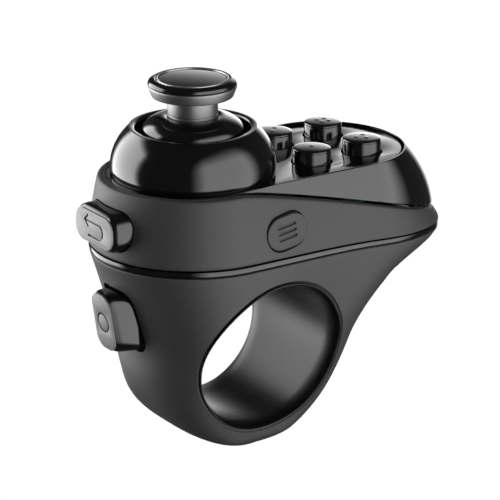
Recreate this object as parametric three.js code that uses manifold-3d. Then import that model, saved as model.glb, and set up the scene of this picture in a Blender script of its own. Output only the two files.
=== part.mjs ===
// A ring-shaped motion controller worn on one finger: thumb stick and four buttons on top, two
// buttons in front for the index finger, a menu button on one side, a port and a switch on the other.
// Millimetres, +Z up. The origin is the middle of the finger bore, whose axis lies along Y.
// -X is the front (the nose under the stick), +X is the tail.

import * as THREE from "three";
import { mergeVertices } from "three/addons/utils/BufferGeometryUtils.js";
import Module from "manifold-3d";

const wasm = await Module();
wasm.setup();

// ---- Driving sizes -------------------------------------------------------------------------------

const gap = 0.3; // between pieces that touch on the real object
const slip = 0.4; // around a button in its opening
const wall = 1.5; // shell wall

// Finger ring
const boreRadius = 11;
const linerWall = 0.9;
const ringWall = 2.85; // thickness of the shell under the finger
const ringBulge = 1.15; // how far the ring is longer than it is high, each way
const ringBottomHalf = 8.8; // half width of the ring at its lowest part
const archWall = 1.1; // shell between the bore and the inside

// Body outline
const noseRadius = 14.89; // round front at the parting line
const frontPocket = 7.39; // from the arch over the bore to the front of the nose
const tailX = 34.8;
const tailRound = 16.8; // length of the round end of the tail
const tailHalf = 13.3; // half width there
const partingHeight = 3.76; // parting line above the top of the bore
const tailDrop = 2.16; // how far the parting line falls towards the tail
const trimHeight = 0.9;
const deckHeight = 14.34; // top face of the button plate above the top of the bore

// Top
const lipWidth = 1.79; // from the collar to the outside of the shell's front lip
const lipRound = 0.6; // how far the crest of the lip is rounded in
const coverStep = 0.35; // how far the cover is wider than the collar, each side
const coverInset = 0.9; // from the tail to the foot of the cover
const coverWall = 1.2;
const plateStep = 0.58; // how far the plate is narrower than the collar, each side
const plateThickness = 1.24;
const plateInset = 7.1; // from the tail to the plate's tip
const plateRound = 10.7; // length of the plate's round end
const rimWidth = 0.4;
const rimHeight = 0.36;

// Stick
const collarRadius = 11.7;
const collarRise = 8.8; // half height of the collar's ellipse
const collarMouth = 8.2;
const ballRadius = 7.35;
const ballRise = 3.77;
const stemRadius = 3.55;
const capRadius = 6.35;
const shaftRadius = 1.3;
const caseHalf = 6;
const caseWall = 0.8;

// Buttons
const buttonRadius = 2.75;
const buttonPitchX = 8.7;
const buttonPitchY = 9.78;
const buttonShift = 5.17; // how far the buttons stand forward of two thirds of the open deck
const buttonRise = 2.1; // above the plate
const buttonTravel = 0.6;
const backLength = 10.4;
const backHeight = 5.1;
const backReach = 1.7; // in front of the nose
const menuLength = 6.9;
const menuHeight = 5.3;
const triggerHalf = 2.85;
const triggerFlare = 0.65;
const triggerReach = 6.2; // top of its face in front of the pin
const triggerFootReach = 5.1; // foot of its face in front of the pin

// Electronics
const boardThickness = 1;
const screwRadius = 0.5;
const portLength = 7.6;
const portHeight = 2.6;
const portInset = 21.2; // from the tail to the middle of the port

// Fineness of the facets
const arcSteps = 7;
const sideSteps = 4;
const boreSides = 44;
const turnSides = 28;
const rodSides = 14;

// ---- Heights worked out from the driving sizes -----------------------------------------------------

const linerRadius = boreRadius + linerWall;
const holeRadius = linerRadius + gap;
const archRadius = holeRadius + archWall;
const ringDepth = holeRadius + ringWall; // the ring's bottom is this far below the bore axis
const ringHalfLength = ringDepth + ringBulge;
const partingZ = boreRadius + partingHeight;
const deckZ = boreRadius + deckHeight;
const shellTopZ = deckZ;
const boardTopZ = archRadius + 1.9;
const boardBottomZ = boardTopZ - boardThickness;
const pivotZ = deckZ + 2.66;
const collarZ = deckZ + 1.16;

// ---- Places along the body ---------------------------------------------------------------------------

const stickX = noseRadius - archRadius - frontPocket; // the stick stands at the nose's centre
const tailStation = tailX - tailRound;
const shellLean = noseRadius - collarRadius - lipWidth; // how far the shell leans in towards the lip
const coverHalf = collarRadius + coverStep;
const plateHalf = collarRadius - plateStep;
const plateTipX = tailX - plateInset;
const plateStation = plateTipX - plateRound;
const deckStartX = stickX + collarRadius + slip;
const buttonCentreX = deckStartX + (plateTipX - deckStartX) * (2 / 3) - buttonShift;

// ---- Helpers for solids ----------------------------------------------------------------------------

function solid(geometry) {
  geometry.deleteAttribute("normal");
  geometry.deleteAttribute("uv");
  const merged = mergeVertices(geometry, 1e-4);
  return new wasm.Manifold(new wasm.Mesh({
    numProp: 3,
    vertProperties: Float32Array.from(merged.attributes.position.array),
    triVerts: Uint32Array.from(merged.index.array),
  }));
}

function geometryOf(body) {
  const mesh = body.getMesh();
  const geometry = new THREE.BufferGeometry();
  geometry.setAttribute("position", new THREE.BufferAttribute(Float32Array.from(mesh.vertProperties), 3));
  geometry.setIndex(new THREE.BufferAttribute(Uint32Array.from(mesh.triVerts), 1));
  geometry.computeVertexNormals();
  return geometry;
}

function block(x0, x1, y0, y1, z0, z1) {
  const box = new THREE.BoxGeometry(x1 - x0, y1 - y0, z1 - z0);
  box.translate((x0 + x1) / 2, (y0 + y1) / 2, (z0 + z1) / 2);
  return solid(box);
}

const turns = {
  x: (geometry) => geometry.rotateZ(-Math.PI / 2),
  y: (geometry) => geometry,
  z: (geometry) => geometry.rotateX(Math.PI / 2),
};

// A round bar of the given radius from one point along x, y or z.
function bar(radius, axis, [x, y, z], length, sides = rodSides) {
  const rod = turns[axis](new THREE.CylinderGeometry(radius, radius, length, sides));
  const half = length / 2;
  const shift = { x: [half, 0, 0], y: [0, half, 0], z: [0, 0, half] }[axis];
  rod.translate(x + shift[0], y + shift[1], z + shift[2]);
  return solid(rod);
}

// A profile of [radius, height] points turned about the vertical line through x.
function turned(profile, x, sides = turnSides) {
  const points = profile.map(([radius, height]) => new THREE.Vector2(radius, height));
  if (profile[0][0] > 0) points.push(points[0].clone());
  const lathe = new THREE.LatheGeometry(points, sides);
  lathe.rotateX(Math.PI / 2);
  lathe.translate(x, 0, 0);
  return solid(lathe);
}

// A flat outline drawn in two of the axes and pulled along the third.
function pulled(shape, axis, from, to, curveSegments = 5) {
  const prism = new THREE.ExtrudeGeometry(shape, { depth: to - from, bevelEnabled: false, curveSegments });
  prism.translate(0, 0, from);
  const frames = {
    x: [0, 0, 1, 0, 1, 0, 0, 0, 0, 1, 0, 0, 0, 0, 0, 1],
    y: [-1, 0, 0, 0, 0, 0, 1, 0, 0, 1, 0, 0, 0, 0, 0, 1],
  };
  if (frames[axis]) prism.applyMatrix4(new THREE.Matrix4().set(...frames[axis]));
  return solid(prism);
}

// A rectangle with round corners, centred on u, v.
function roundedShape(u, v, width, height, radius) {
  const shape = new THREE.Shape();
  const [left, right, low, high] = [u - width / 2, u + width / 2, v - height / 2, v + height / 2];
  shape.moveTo(left + radius, low);
  shape.lineTo(right - radius, low);
  shape.absarc(right - radius, low + radius, radius, -Math.PI / 2, 0);
  shape.lineTo(right, high - radius);
  shape.absarc(right - radius, high - radius, radius, 0, Math.PI / 2);
  shape.lineTo(left + radius, high);
  shape.absarc(left + radius, high - radius, radius, Math.PI / 2, Math.PI);
  shape.lineTo(left, low + radius);
  shape.absarc(left + radius, low + radius, radius, Math.PI, 1.5 * Math.PI);
  return shape;
}

// A skin over a stack of closed rings with the same number of points, capped flat at both ends.
function lofted(rings) {
  const count = rings[0].length;
  const points = rings.flat();
  const faces = [];
  for (let ring = 0; ring + 1 < rings.length; ring += 1) {
    for (let i = 0; i < count; i += 1) {
      const a = ring * count + i;
      const b = ring * count + ((i + 1) % count);
      faces.push(a, b, b + count, a, b + count, a + count);
    }
  }
  const last = (rings.length - 1) * count;
  // The caps join each point to its mirror point, so they stay flat across the width.
  for (let i = 0; i < count / 2; i += 1) {
    const [a, b, c, d] = [i, i + 1, count - 1 - i, (count - i) % count];
    if (b !== c) faces.push(a, c, b, last + a, last + b, last + c);
    if (a !== d) faces.push(a, d, c, last + a, last + c, last + d);
  }
  const geometry = new THREE.BufferGeometry();
  geometry.setAttribute("position", new THREE.BufferAttribute(Float32Array.from(points.flat()), 3));
  geometry.setIndex(faces);
  return solid(geometry);
}

// ---- Body outline ----------------------------------------------------------------------------------

const mix = (a, b, t) => a + (b - a) * t;
const clamp = (value) => Math.min(1, Math.max(0, value));
const tailShare = (x) => clamp((x - stickX) / (tailX - stickX));
const partingFall = (x) => tailDrop * tailShare(x) ** 1.7;
const trimTop = (x) => partingZ + trimHeight - 1.14 * partingFall(x);
const shellTop = (x) => shellTopZ - (shellTopZ - partingZ + 0.3) * tailShare(x) ** 1.15;

// An outline seen from above: round front, straight side, round tail, and the mirror image back.
function planRing({ front, frontStation, frontHalf, rearStation, rearHalf, rear, blunt }, height) {
  const side = [];
  for (let i = 0; i <= arcSteps; i += 1) {
    const angle = (i / arcSteps) * (Math.PI / 2);
    const along = Math.max(0, Math.cos(angle)) ** (2 / blunt);
    side.push([frontStation - (frontStation - front) * along, frontHalf * Math.sin(angle) ** (2 / blunt)]);
  }
  for (let i = 1; i < sideSteps; i += 1) {
    side.push([mix(frontStation, rearStation, i / sideSteps), mix(frontHalf, rearHalf, i / sideSteps)]);
  }
  for (let i = 0; i <= arcSteps; i += 1) {
    const angle = (i / arcSteps) * (Math.PI / 2);
    const across = Math.max(0, Math.cos(angle)) ** (2 / blunt);
    side.push([rearStation + (rear - rearStation) * Math.sin(angle) ** (2 / blunt), rearHalf * across]);
  }
  side[0][1] = 0;
  side[side.length - 1][1] = 0;
  const near = side.map(([x, y]) => [x, -y, height(x)]);
  const far = side.slice(1, -1).map(([x, y]) => [x, y, height(x)]).reverse();
  return near.concat(far);
}

// The outside of the ring and body below the parting line, at height z, moved inwards by inset.
function lowerPlan(z, inset = 0, rearInset = inset) {
  const rise = clamp(z / partingZ);
  const ring = ringHalfLength * Math.sqrt(Math.max(0.006, 1 - (Math.min(z, 0) / ringDepth) ** 2));
  const flare = clamp((z + 8) / (partingZ + 8)) ** 2.5;
  const front = -mix(ring, noseRadius - stickX, rise ** 1.3);
  const rear = ring + (tailX - ringHalfLength) * flare;
  const widen = Math.sin((Math.PI / 2) * clamp((z + ringDepth - 2.05) / (partingZ + ringDepth - 2.05)));
  const tuck = 1 - 0.28 * clamp((2.05 - ringDepth - z) / 2.05) ** 1.6;
  return {
    front: front + inset,
    frontStation: mix(-0.35 * ring, stickX, rise),
    frontHalf: mix(ringBottomHalf, noseRadius, widen) * tuck - inset,
    rearStation: mix(0.35 * ring, tailStation, rise),
    rearHalf: mix(ringBottomHalf - 0.2, tailHalf, widen) * tuck - inset,
    rear: rear - rearInset,
    blunt: 3 - rise,
  };
}

function lowerRing(z, inset, rearInset) {
  const fall = clamp(z / partingZ);
  return planRing(lowerPlan(z, inset, rearInset), (x) => z - fall * partingFall(x));
}

// The outline between the parting line (t = 0) and the shell's top edge (t = 1).
function upperPlan(t, inset = 0) {
  const lean = t ** 2.2;
  return {
    front: stickX - noseRadius + shellLean * lean + inset,
    frontStation: stickX,
    frontHalf: noseRadius - shellLean * lean - inset,
    rearStation: tailStation,
    rearHalf: tailHalf - 0.6 * lean - inset,
    rear: tailX - 1.1 * lean - inset,
    blunt: 2,
  };
}

function coverPlan(t, inset = 0) {
  const lean = t ** 1.5;
  return {
    front: stickX - collarRadius - 0.2 + inset,
    frontStation: stickX,
    frontHalf: coverHalf - 0.1 - inset,
    rearStation: tailStation,
    rearHalf: mix(coverHalf, plateHalf + gap + rimWidth, lean) - inset,
    rear: mix(tailX - coverInset, plateTipX + gap + rimWidth, lean) - inset,
    blunt: 2,
  };
}

function plateShape(grow) {
  const shape = new THREE.Shape();
  const half = plateHalf + grow;
  shape.moveTo(stickX, -half);
  shape.lineTo(plateStation, -half);
  shape.absellipse(plateStation, 0, plateTipX + grow - plateStation, half, -Math.PI / 2, Math.PI / 2);
  shape.lineTo(stickX, half);
  return shape;
}

// How far up the upper shell a height is at x, from 0 at the parting line to 1 at its top edge.
const shellShare = (x, z) => clamp((z - trimTop(x)) / (shellTop(x) - trimTop(x)));

// Half width of the straight side of the upper shell.
function sideHalf(x, z, inset = 0) {
  const plan = upperPlan(shellShare(x, z), inset);
  return mix(plan.frontHalf, plan.rearHalf, clamp((x - stickX) / (tailStation - stickX)));
}

const innerInset = wall + 0.1;
const collarHole = () => bar(collarRadius + slip, "z", [stickX, 0, deckZ - 12], 24, boreSides);

// ---- Shells ----------------------------------------------------------------------------------------

const bodyHeights = [-1, -0.985, -0.95, -0.87, -0.74, -0.54, -0.27].map((share) => share * ringDepth)
  .concat([0, 0.27, 0.53, 0.78].map((share) => share * partingZ));
const seamZ = partingZ - gap / 2;
const screwX = tailX - 13.8;
const screwY = 10;
const portX = tailX - portInset;
const boardScrewX = portX - 6.6;
const boardScrewY = 10.2;
const triggerPinX = -archRadius - 2.6;
const triggerPinZ = partingZ - 2.76;
const triggerBottomZ = triggerPinZ - 10.4;
const triggerTopZ = triggerPinZ - 1.6;
const triggerBackX = triggerPinX + 0.3;
const screwHeadZ = archRadius - 3.4;

const bodyBelow = () => lofted([...bodyHeights, seamZ].map((z) => lowerRing(z, 0, 0)));

function lowerShell() {
  const outside = bodyBelow();
  const heights = [0.2, 0.45, 0.7, 1.1].map((share) => share * partingZ);
  const inside = lofted(heights.map((z) => lowerRing(z, wall, wall + 0.7)));
  const arch = bar(archRadius, "y", [0, -20, 0], 40, boreSides);
  const bosses = [];
  for (const side of [-1, 1]) {
    bosses.push(bar(1.9, "z", [screwX, side * screwY, 0], seamZ - 1.1));
    bosses.push(bar(1.6, "z", [boardScrewX, side * boardScrewY, 9], boardBottomZ - gap - 9));
  }
  let shell = outside.subtract(inside.subtract(arch));
  for (const boss of bosses) shell = shell.add(boss.intersect(bodyBelow()));
  const lugFront = triggerPinX - 2;
  for (const side of [-1, 1]) {
    const [y0, y1] = side < 0 ? [-4.4, -3] : [3, 4.4];
    const lug = block(lugFront - 3, triggerPinX + 1.4, y0, y1, triggerTopZ + 0.6, triggerPinZ + 1.3);
    shell = shell.add(lug.intersect(bodyBelow()));
    shell = shell.subtract(bar(0.8, "y", [triggerPinX, y0 - 0.3, triggerPinZ], 2));
    shell = shell.subtract(bar(1.4, "z", [screwX, side * screwY, -5], 5 + screwHeadZ + 0.9));
    shell = shell.subtract(bar(0.8, "z", [screwX, side * screwY, 0], 20));
    shell = shell.subtract(bar(0.75, "z", [boardScrewX, side * boardScrewY, boardBottomZ - 2.5], 4));
  }
  const openingWidth = 2 * (triggerHalf + triggerFlare + slip);
  const openingHeight = triggerTopZ - triggerBottomZ + 2 * slip;
  const opening = roundedShape(0, (triggerBottomZ + triggerTopZ) / 2, openingWidth, openingHeight, 1.7);
  shell = shell.subtract(pulled(opening, "x", -40, triggerPinX + 1.6));
  return shell.subtract(bar(holeRadius, "y", [0, -20, 0], 40, boreSides));
}

function ringLiner() {
  const tube = bar(linerRadius, "y", [0, -20, 0], 40, boreSides);
  const bore = bar(boreRadius, "y", [0, -21, 0], 42, boreSides);
  return tube.subtract(bore).intersect(bodyBelow());
}

function trimBand() {
  const outline = (inset, height) => planRing(upperPlan(0, inset), height);
  const low = (x) => partingZ + gap / 2 - partingFall(x);
  const high = (x) => trimTop(x) - gap / 2;
  const outside = lofted([outline(0.03, low), outline(0.03, high)]);
  const inside = lofted([outline(wall, (x) => low(x) - 1), outline(wall, (x) => high(x) + 1)]);
  return outside.subtract(inside);
}

const backZ = partingZ + 5.24;
const menuX = stickX + 6.3;
const menuZ = partingZ + 4.64;
const menuFaceY = -sideHalf(menuX, menuZ) - 0.25;
const modeX = boardScrewX - 6.8;
const modeTravel = 2;
const modeZ = boardTopZ + 1.8;
const portZ = boardTopZ + gap + portHeight / 2;

function upperShell() {
  const level = (t) => planRing(upperPlan(t), (x) => mix(trimTop(x) + gap / 2, shellTop(x), t));
  const crestRing = planRing(upperPlan(1, lipRound), shellTop);
  const outside = lofted([...[0, 0.3, 0.55, 0.78, 0.93].map(level), crestRing]);
  const inside = lofted([-0.1, 0.3, 0.6, 0.85, 1.1].map((t) => planRing(upperPlan(clamp(t), innerInset),
    (x) => mix(trimTop(x), shellTop(x), t))));
  let shell = outside.subtract(inside);
  for (const side of [-1, 1]) {
    const boss = bar(1.9, "z", [screwX, side * screwY, 0], shellTop(screwX) - 1.2);
    const floor = block(10, 30, -20, 20, -1, trimTop(screwX) + gap);
    shell = shell.add(boss.subtract(floor).intersect(outside));
    shell = shell.subtract(bar(0.8, "z", [screwX, side * screwY, 0], shellTop(screwX) - 2.2));
  }
  const back = roundedShape(0, backZ, backLength + 2 * slip, backHeight + 2 * slip, backHeight / 2 + slip);
  const menu = roundedShape(-menuX, menuZ, menuLength + 2 * gap, menuHeight + 2 * gap, 2.4 + gap);
  const port = roundedShape(-portX, portZ, portLength + 1, portHeight + 0.6, 0.6);
  const modeWidth = modeTravel + 2.4;
  const mode = roundedShape(-modeX - modeTravel / 2, modeZ, modeWidth, 1.6, 0.4);
  shell = shell.subtract(pulled(back, "x", -40, stickX - 8));
  shell = shell.subtract(pulled(menu, "y", -30, -8));
  shell = shell.subtract(pulled(port, "y", 8, 30));
  shell = shell.subtract(bar(collarRadius + slip / 2, "z", [stickX, 0, deckZ - 4], 8, boreSides));
  shell = shell.subtract(pulled(plateShape(gap), "z", deckZ - plateThickness - gap, deckZ + 3, 10));
  return shell.subtract(pulled(mode, "y", 8, 30));
}

function topCover() {
  const low = (x) => Math.min(shellTop(x) + gap, deckZ - 0.1);
  const high = () => deckZ + rimHeight;
  const level = (t) => planRing(coverPlan(t), (x) => mix(low(x), high(), t));
  const outside = lofted([0, 0.25, 0.5, 0.75, 1].map(level));
  const ledgeZ = deckZ - plateThickness - gap;
  const tailLow = shellTop(tailX);
  const inside = lofted([0, 0.35, 0.7, 1].map((share) => {
    const z = mix(tailLow - 3, ledgeZ - 1, share);
    return planRing(coverPlan(clamp((z - tailLow) / (high() - tailLow)), coverWall), () => z);
  }));
  const recess = pulled(plateShape(gap), "z", ledgeZ, deckZ + 3, 10);
  const window = pulled(plateShape(-1.3), "z", ledgeZ - 3, deckZ, 10);
  const front = block(-40, stickX + 4.3, -30, 30, 0, 60);
  return outside.subtract(inside).subtract(recess).subtract(window).subtract(collarHole()).subtract(front);
}

const buttonPlaces = [];
for (const [column, x] of [buttonCentreX - buttonPitchX / 2, buttonCentreX + buttonPitchX / 2].entries()) {
  for (const [row, y] of [-buttonPitchY / 2, buttonPitchY / 2].entries()) {
    buttonPlaces.push({ number: 2 * column + row + 1, x, y });
  }
}

const plateBottomZ = deckZ - plateThickness;
const buttonBottomZ = plateBottomZ - 1.35;
const keyBoardTopZ = buttonBottomZ - 2.55;
const keyBoardBottomZ = keyBoardTopZ - boardThickness;
const pillarPlaces = [deckStartX + 1.9, plateTipX - 5.1];

function buttonPlate() {
  let plate = pulled(plateShape(0), "z", plateBottomZ, deckZ, 10).subtract(collarHole());
  plate = plate.subtract(block(-40, stickX + 4.6, -30, 30, 0, 60));
  for (const { x, y } of buttonPlaces) {
    plate = plate.subtract(bar(buttonRadius + gap, "z", [x, y, plateBottomZ - 1], 5));
  }
  for (const x of pillarPlaces) {
    plate = plate.add(bar(1.3, "z", [x, 0, keyBoardTopZ + gap], plateBottomZ - keyBoardTopZ));
    plate = plate.subtract(bar(0.7, "z", [x, 0, keyBoardTopZ], plateBottomZ - keyBoardTopZ - 0.3));
  }
  return plate;
}

// ---- Stick -----------------------------------------------------------------------------------------

function ellipseProfile(radius, rise, centreZ, fromZ, toZ, steps) {
  const points = [];
  for (let i = 0; i <= steps; i += 1) {
    const z = mix(fromZ, toZ, i / steps);
    points.push([radius * Math.sqrt(1 - ((z - centreZ) / rise) ** 2), z]);
  }
  return points;
}

const collarTopZ = collarZ + 5.68;
const ballZ = deckZ + 5.56;
const stemTopZ = ballZ + 6.0;
const capZ = stemTopZ + 0.3;

function stickCollar() {
  const skirtZ = deckZ - 1.9;
  const inner = collarRadius - 0.8;
  return turned([
    [inner, skirtZ],
    [collarRadius - 0.2, skirtZ],
    [collarRadius - 0.15, deckZ - 0.1],
    ...ellipseProfile(collarRadius, collarRise, collarZ, deckZ + 0.2, collarTopZ, 7),
    [collarMouth + 0.45, collarTopZ + 0.1],
    [collarMouth, collarTopZ - 0.25],
    [collarMouth + 0.35, collarTopZ - 1],
    [inner - 0.7, collarTopZ - 2.7],
    [inner, collarTopZ - 4.7],
  ], stickX, 34);
}

function stickBall() {
  return turned([
    ...ellipseProfile(ballRadius, ballRise, ballZ, ballZ, ballZ + ballRise * 0.96, 6),
    [shaftRadius + gap, ballZ + ballRise * 0.96],
    [shaftRadius + gap, ballZ + 2.7],
    [3.6, ballZ + 2.3],
    [5.6, ballZ + 1.3],
    [ballRadius - 0.95, ballZ],
    [ballRadius - 0.95, ballZ - 0.8],
    [ballRadius - 0.15, ballZ - 0.8],
  ], stickX);
}

function stickStem() {
  const low = ballZ + ballRise + 0.15;
  return turned([
    [shaftRadius + gap, low],
    [stemRadius, low],
    [stemRadius, stemTopZ],
    [shaftRadius + gap, stemTopZ],
  ], stickX);
}

function stickCap() {
  return turned([
    [shaftRadius + gap, capZ],
    [capRadius - 0.75, capZ],
    [capRadius - 0.5, capZ + 0.15],
    [capRadius, capZ + 0.8],
    [capRadius - 0.05, capZ + 1.3],
    [capRadius - 0.45, capZ + 1.75],
    [capRadius - 1.1, capZ + 2.08],
    [capRadius - 1.25, capZ + 2.08],
    [capRadius - 1.25, capZ + 1.4],
    [shaftRadius + gap, capZ + 1.4],
  ], stickX);
}

const capRecessRadius = capRadius - 1.25;

function stickCapRing() {
  const [low, high] = [capZ + 1.4 + gap, capZ + 2.12];
  const outer = capRecessRadius - gap;
  return turned([[outer - gap, low], [outer, low], [outer, high], [outer - gap, high]], stickX);
}

function stickCapInsert() {
  const radius = capRecessRadius - 3 * gap;
  const low = capZ + 1.4 + gap;
  const dish = [[radius, capZ + 2], [radius - 1.4, capZ + 2.06], [0, capZ + 2.08]];
  return turned([[0, low], [radius, low], ...dish], stickX);
}

const footZ = pivotZ - 7.4;
const ringHalf = 4.2;
const ringInner = 2.9;

function stickShaft() {
  const rod = bar(shaftRadius, "z", [stickX, 0, pivotZ], capZ + 1.1 - pivotZ);
  const hub = bar(2.2, "z", [stickX, 0, pivotZ - 2], 3);
  const tailRod = bar(1, "z", [stickX, 0, footZ], pivotZ - footZ, 12);
  const foot = bar(1.6, "z", [stickX, 0, footZ], 1);
  const pin = bar(0.55, "y", [stickX, -ringHalf, pivotZ], 2 * ringHalf);
  return rod.add(hub).add(tailRod).add(foot).add(pin);
}

function stickMagnet() {
  return bar(1.6, "z", [stickX, 0, footZ - gap - 1.2], 1.2);
}

function gimbalRing() {
  const frame = block(stickX - ringHalf, stickX + ringHalf, -ringHalf, ringHalf, pivotZ - 0.9, pivotZ + 0.9);
  const [front, rear] = [stickX - ringInner, stickX + ringInner];
  const middle = block(front, rear, -ringInner, ringInner, pivotZ - 2, pivotZ + 2);
  const reach = caseHalf - 0.1;
  const trunnions = bar(0.6, "x", [stickX - reach, 0, pivotZ], 2 * reach);
  const pinHole = bar(0.85, "y", [stickX, -6, pivotZ], 12);
  return frame.add(trunnions).subtract(middle).subtract(pinHole);
}

function stickCase() {
  const high = deckZ - 0.34;
  const inner = caseHalf - caseWall;
  const walls = block(stickX - caseHalf, stickX + caseHalf, -caseHalf, caseHalf, boardTopZ + gap, high);
  const tabs = block(stickX - caseHalf, stickX + caseHalf, -1.5, 1.5, boardTopZ + 2, pivotZ + 1);
  const hollow = block(stickX - inner, stickX + inner, -inner, inner, boardTopZ - 1, pivotZ + 3);
  return walls.add(tabs).subtract(hollow).subtract(bar(0.9, "x", [stickX - 8, 0, pivotZ], 16));
}

const washerZ = pivotZ - 3.5;

function centringWasher() {
  return turned([[2.6, washerZ], [4.9, washerZ], [4.9, washerZ + 0.5], [2.6, washerZ + 0.5]], stickX, 20);
}

// A coil of wire as a closed tube along a helix about a line through the centre, along z or y.
function coil(centre, axis, radius, wire, pitch, coils, sides = 5, stepsPerCoil = 12) {
  const steps = Math.round(coils * stepsPerCoil);
  const rings = [];
  const at = (step, ringTurn) => {
    const angle = (step / stepsPerCoil) * 2 * Math.PI;
    const turn = ringTurn * 2 * Math.PI;
    const reach = radius + wire * Math.cos(turn);
    const along = (step / stepsPerCoil) * pitch + wire * Math.sin(turn);
    const round = [reach * Math.cos(angle), reach * Math.sin(angle)];
    if (axis === "z") return [centre[0] + round[0], centre[1] + round[1], centre[2] + along];
    return [centre[0] + round[1], centre[1] + along, centre[2] + round[0]];
  };
  for (let step = 0; step <= steps; step += 1) {
    rings.push(Array.from({ length: sides }, (_, side) => at(step, side / sides)));
  }
  const count = sides;
  const faces = [];
  for (let ring = 0; ring < steps; ring += 1) {
    for (let i = 0; i < count; i += 1) {
      const a = ring * count + i;
      const b = ring * count + ((i + 1) % count);
      faces.push(a, b + count, b, a, a + count, b + count);
    }
  }
  const last = steps * count;
  for (let i = 1; i + 1 < count; i += 1) {
    faces.push(0, i, i + 1);
    faces.push(last, last + i + 1, last + i);
  }
  const geometry = new THREE.BufferGeometry();
  geometry.setAttribute("position", new THREE.BufferAttribute(Float32Array.from(rings.flat().flat()), 3));
  geometry.setIndex(faces);
  return solid(geometry);
}

function centringSpring() {
  const low = boardTopZ + 1.6;
  const height = washerZ - 0.6 - low;
  return coil([stickX, 0, low], "z", 4.55, 0.28, height / 4.5, 4.5, 4, 12);
}

const stickSensor = () => block(stickX - 1.5, stickX + 1.5, -1.5, 1.5, boardTopZ + gap, boardTopZ + 1);

// ---- Buttons and switches --------------------------------------------------------------------------

function faceButton({ x }) {
  const top = deckZ + buttonRise;
  return turned([
    [0, buttonBottomZ],
    [buttonRadius + 0.65, buttonBottomZ],
    [buttonRadius + 0.65, buttonBottomZ + 0.75],
    [buttonRadius, buttonBottomZ + 0.75],
    [buttonRadius, top - 0.2],
    [buttonRadius - 0.2, top],
    [buttonRadius * 0.5, top + 0.2],
    [0, top + 0.26],
  ], x, 20);
}

// A push switch: a square body and a round plunger, facing one way along an axis.
function pushSwitch(axis, facing, [x, y, z], half) {
  const place = { x: [1, 0, 0], y: [0, 1, 0], z: [0, 0, 1] }[axis];
  const centre = [x, y, z].map((value, i) => value + facing * place[i] * 0.45);
  const size = place.map((flag) => (flag ? 0.45 : half));
  const body = block(centre[0] - size[0], centre[0] + size[0], centre[1] - size[1], centre[1] + size[1],
    centre[2] - size[2], centre[2] + size[2]);
  const from = [x, y, z].map((value, i) => value + place[i] * (facing > 0 ? 0.5 : -1.5));
  return body.add(bar(0.8, axis, from, 1, 10));
}

const faceSwitch = ({ x, y }) => pushSwitch("z", 1, [x, y, keyBoardTopZ + gap], 1.6);

// The back button's flange lies just inside the round front, where its corners touch first.
const backFlangeLength = backLength + 1.4;
const backFlangeHeight = backHeight + 1.1;
const innerRadius = Math.min(...[-1, 1].map((end) => {
  const share = shellShare(stickX, backZ + (end * backFlangeHeight) / 2);
  return upperPlan(share, innerInset).frontHalf;
}));
const backFlangeX = stickX - Math.sqrt(innerRadius ** 2 - (backFlangeLength / 2) ** 2) + gap;
const frontBoardX = backFlangeX + 4.03;
const frontSwitchX = frontBoardX - boardThickness + 0.2 - gap;

function backButton() {
  const faceX = stickX - noseRadius + 0.29 - backReach;
  const pad = roundedShape(0, backZ, backLength, backHeight, backHeight / 2);
  const flange = roundedShape(0, backZ, backFlangeLength, backFlangeHeight, 1.2);
  const stem = roundedShape(0, backZ, 2.4, 2, 0.4);
  return pulled(pad, "x", faceX, backFlangeX + 0.2)
    .add(pulled(flange, "x", backFlangeX, backFlangeX + 0.6))
    .add(pulled(stem, "x", backFlangeX + 0.5, frontSwitchX - 1.5 - buttonTravel - 0.15));
}

const backSwitch = () => pushSwitch("x", -1, [frontSwitchX, 0, backZ], 1.6);
const menuBoardY = -caseHalf - 1.6;
const menuSwitchY = menuBoardY - gap;

function menuButton() {
  const pad = roundedShape(-menuX, menuZ, menuLength, menuHeight, 2.4);
  const flangeLength = menuLength + 1;
  const flangeHeight = menuHeight + 0.6;
  const flange = roundedShape(-menuX, menuZ, flangeLength, flangeHeight, 1.5);
  const stem = roundedShape(-menuX, menuZ, 2.4, 2, 0.4);
  const innerHalf = Math.min(...[-1, 1].map((end) =>
    sideHalf(menuX + flangeLength / 2, menuZ + (end * flangeHeight) / 2, innerInset)));
  const flangeY = gap - innerHalf;
  return pulled(pad, "y", menuFaceY, flangeY + 0.2).add(pulled(flange, "y", flangeY, flangeY + 0.8))
    .add(pulled(stem, "y", flangeY + 0.5, menuSwitchY - 1.5 - buttonTravel - 0.15));
}

const menuSwitch = () => pushSwitch("y", -1, [menuX, menuSwitchY, menuZ], 1.6);
const menuBoard = () => block(menuX - 3.5, menuX + 3.5, menuBoardY, menuBoardY + 0.8,
  boardTopZ + gap, menuZ + 3);

// The home trigger hangs from a pin above it, and its lower end swings in towards the finger.
function homeTrigger() {
  const side = new THREE.Shape();
  side.moveTo(-triggerBackX, triggerBottomZ);
  side.lineTo(triggerFootReach - 0.6 - triggerPinX, triggerBottomZ);
  side.lineTo(triggerFootReach - triggerPinX, triggerBottomZ + 0.5);
  side.lineTo(triggerReach - triggerPinX, triggerTopZ - 0.9);
  side.lineTo(triggerReach - 0.6 - triggerPinX, triggerTopZ - 0.2);
  side.lineTo(-triggerBackX, triggerTopZ);
  const pad = pulled(side, "y", -triggerHalf, triggerHalf);
  const base = roundedShape(0, (triggerBottomZ + triggerTopZ) / 2, 2 * (triggerHalf + triggerFlare),
    triggerTopZ - triggerBottomZ, 1.3);
  const skirt = pulled(base, "x", triggerPinX - 2, triggerBackX);
  const lug = bar(1.6, "y", [triggerPinX, -1.9, triggerPinZ], 3.8);
  const web = block(triggerPinX - 1.3, triggerPinX + 0.3, -1.9, 1.9, triggerTopZ - 2, triggerPinZ);
  return pad.add(skirt).add(lug).add(web).subtract(bar(0.8, "y", [triggerPinX, -5, triggerPinZ], 10));
}

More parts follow.
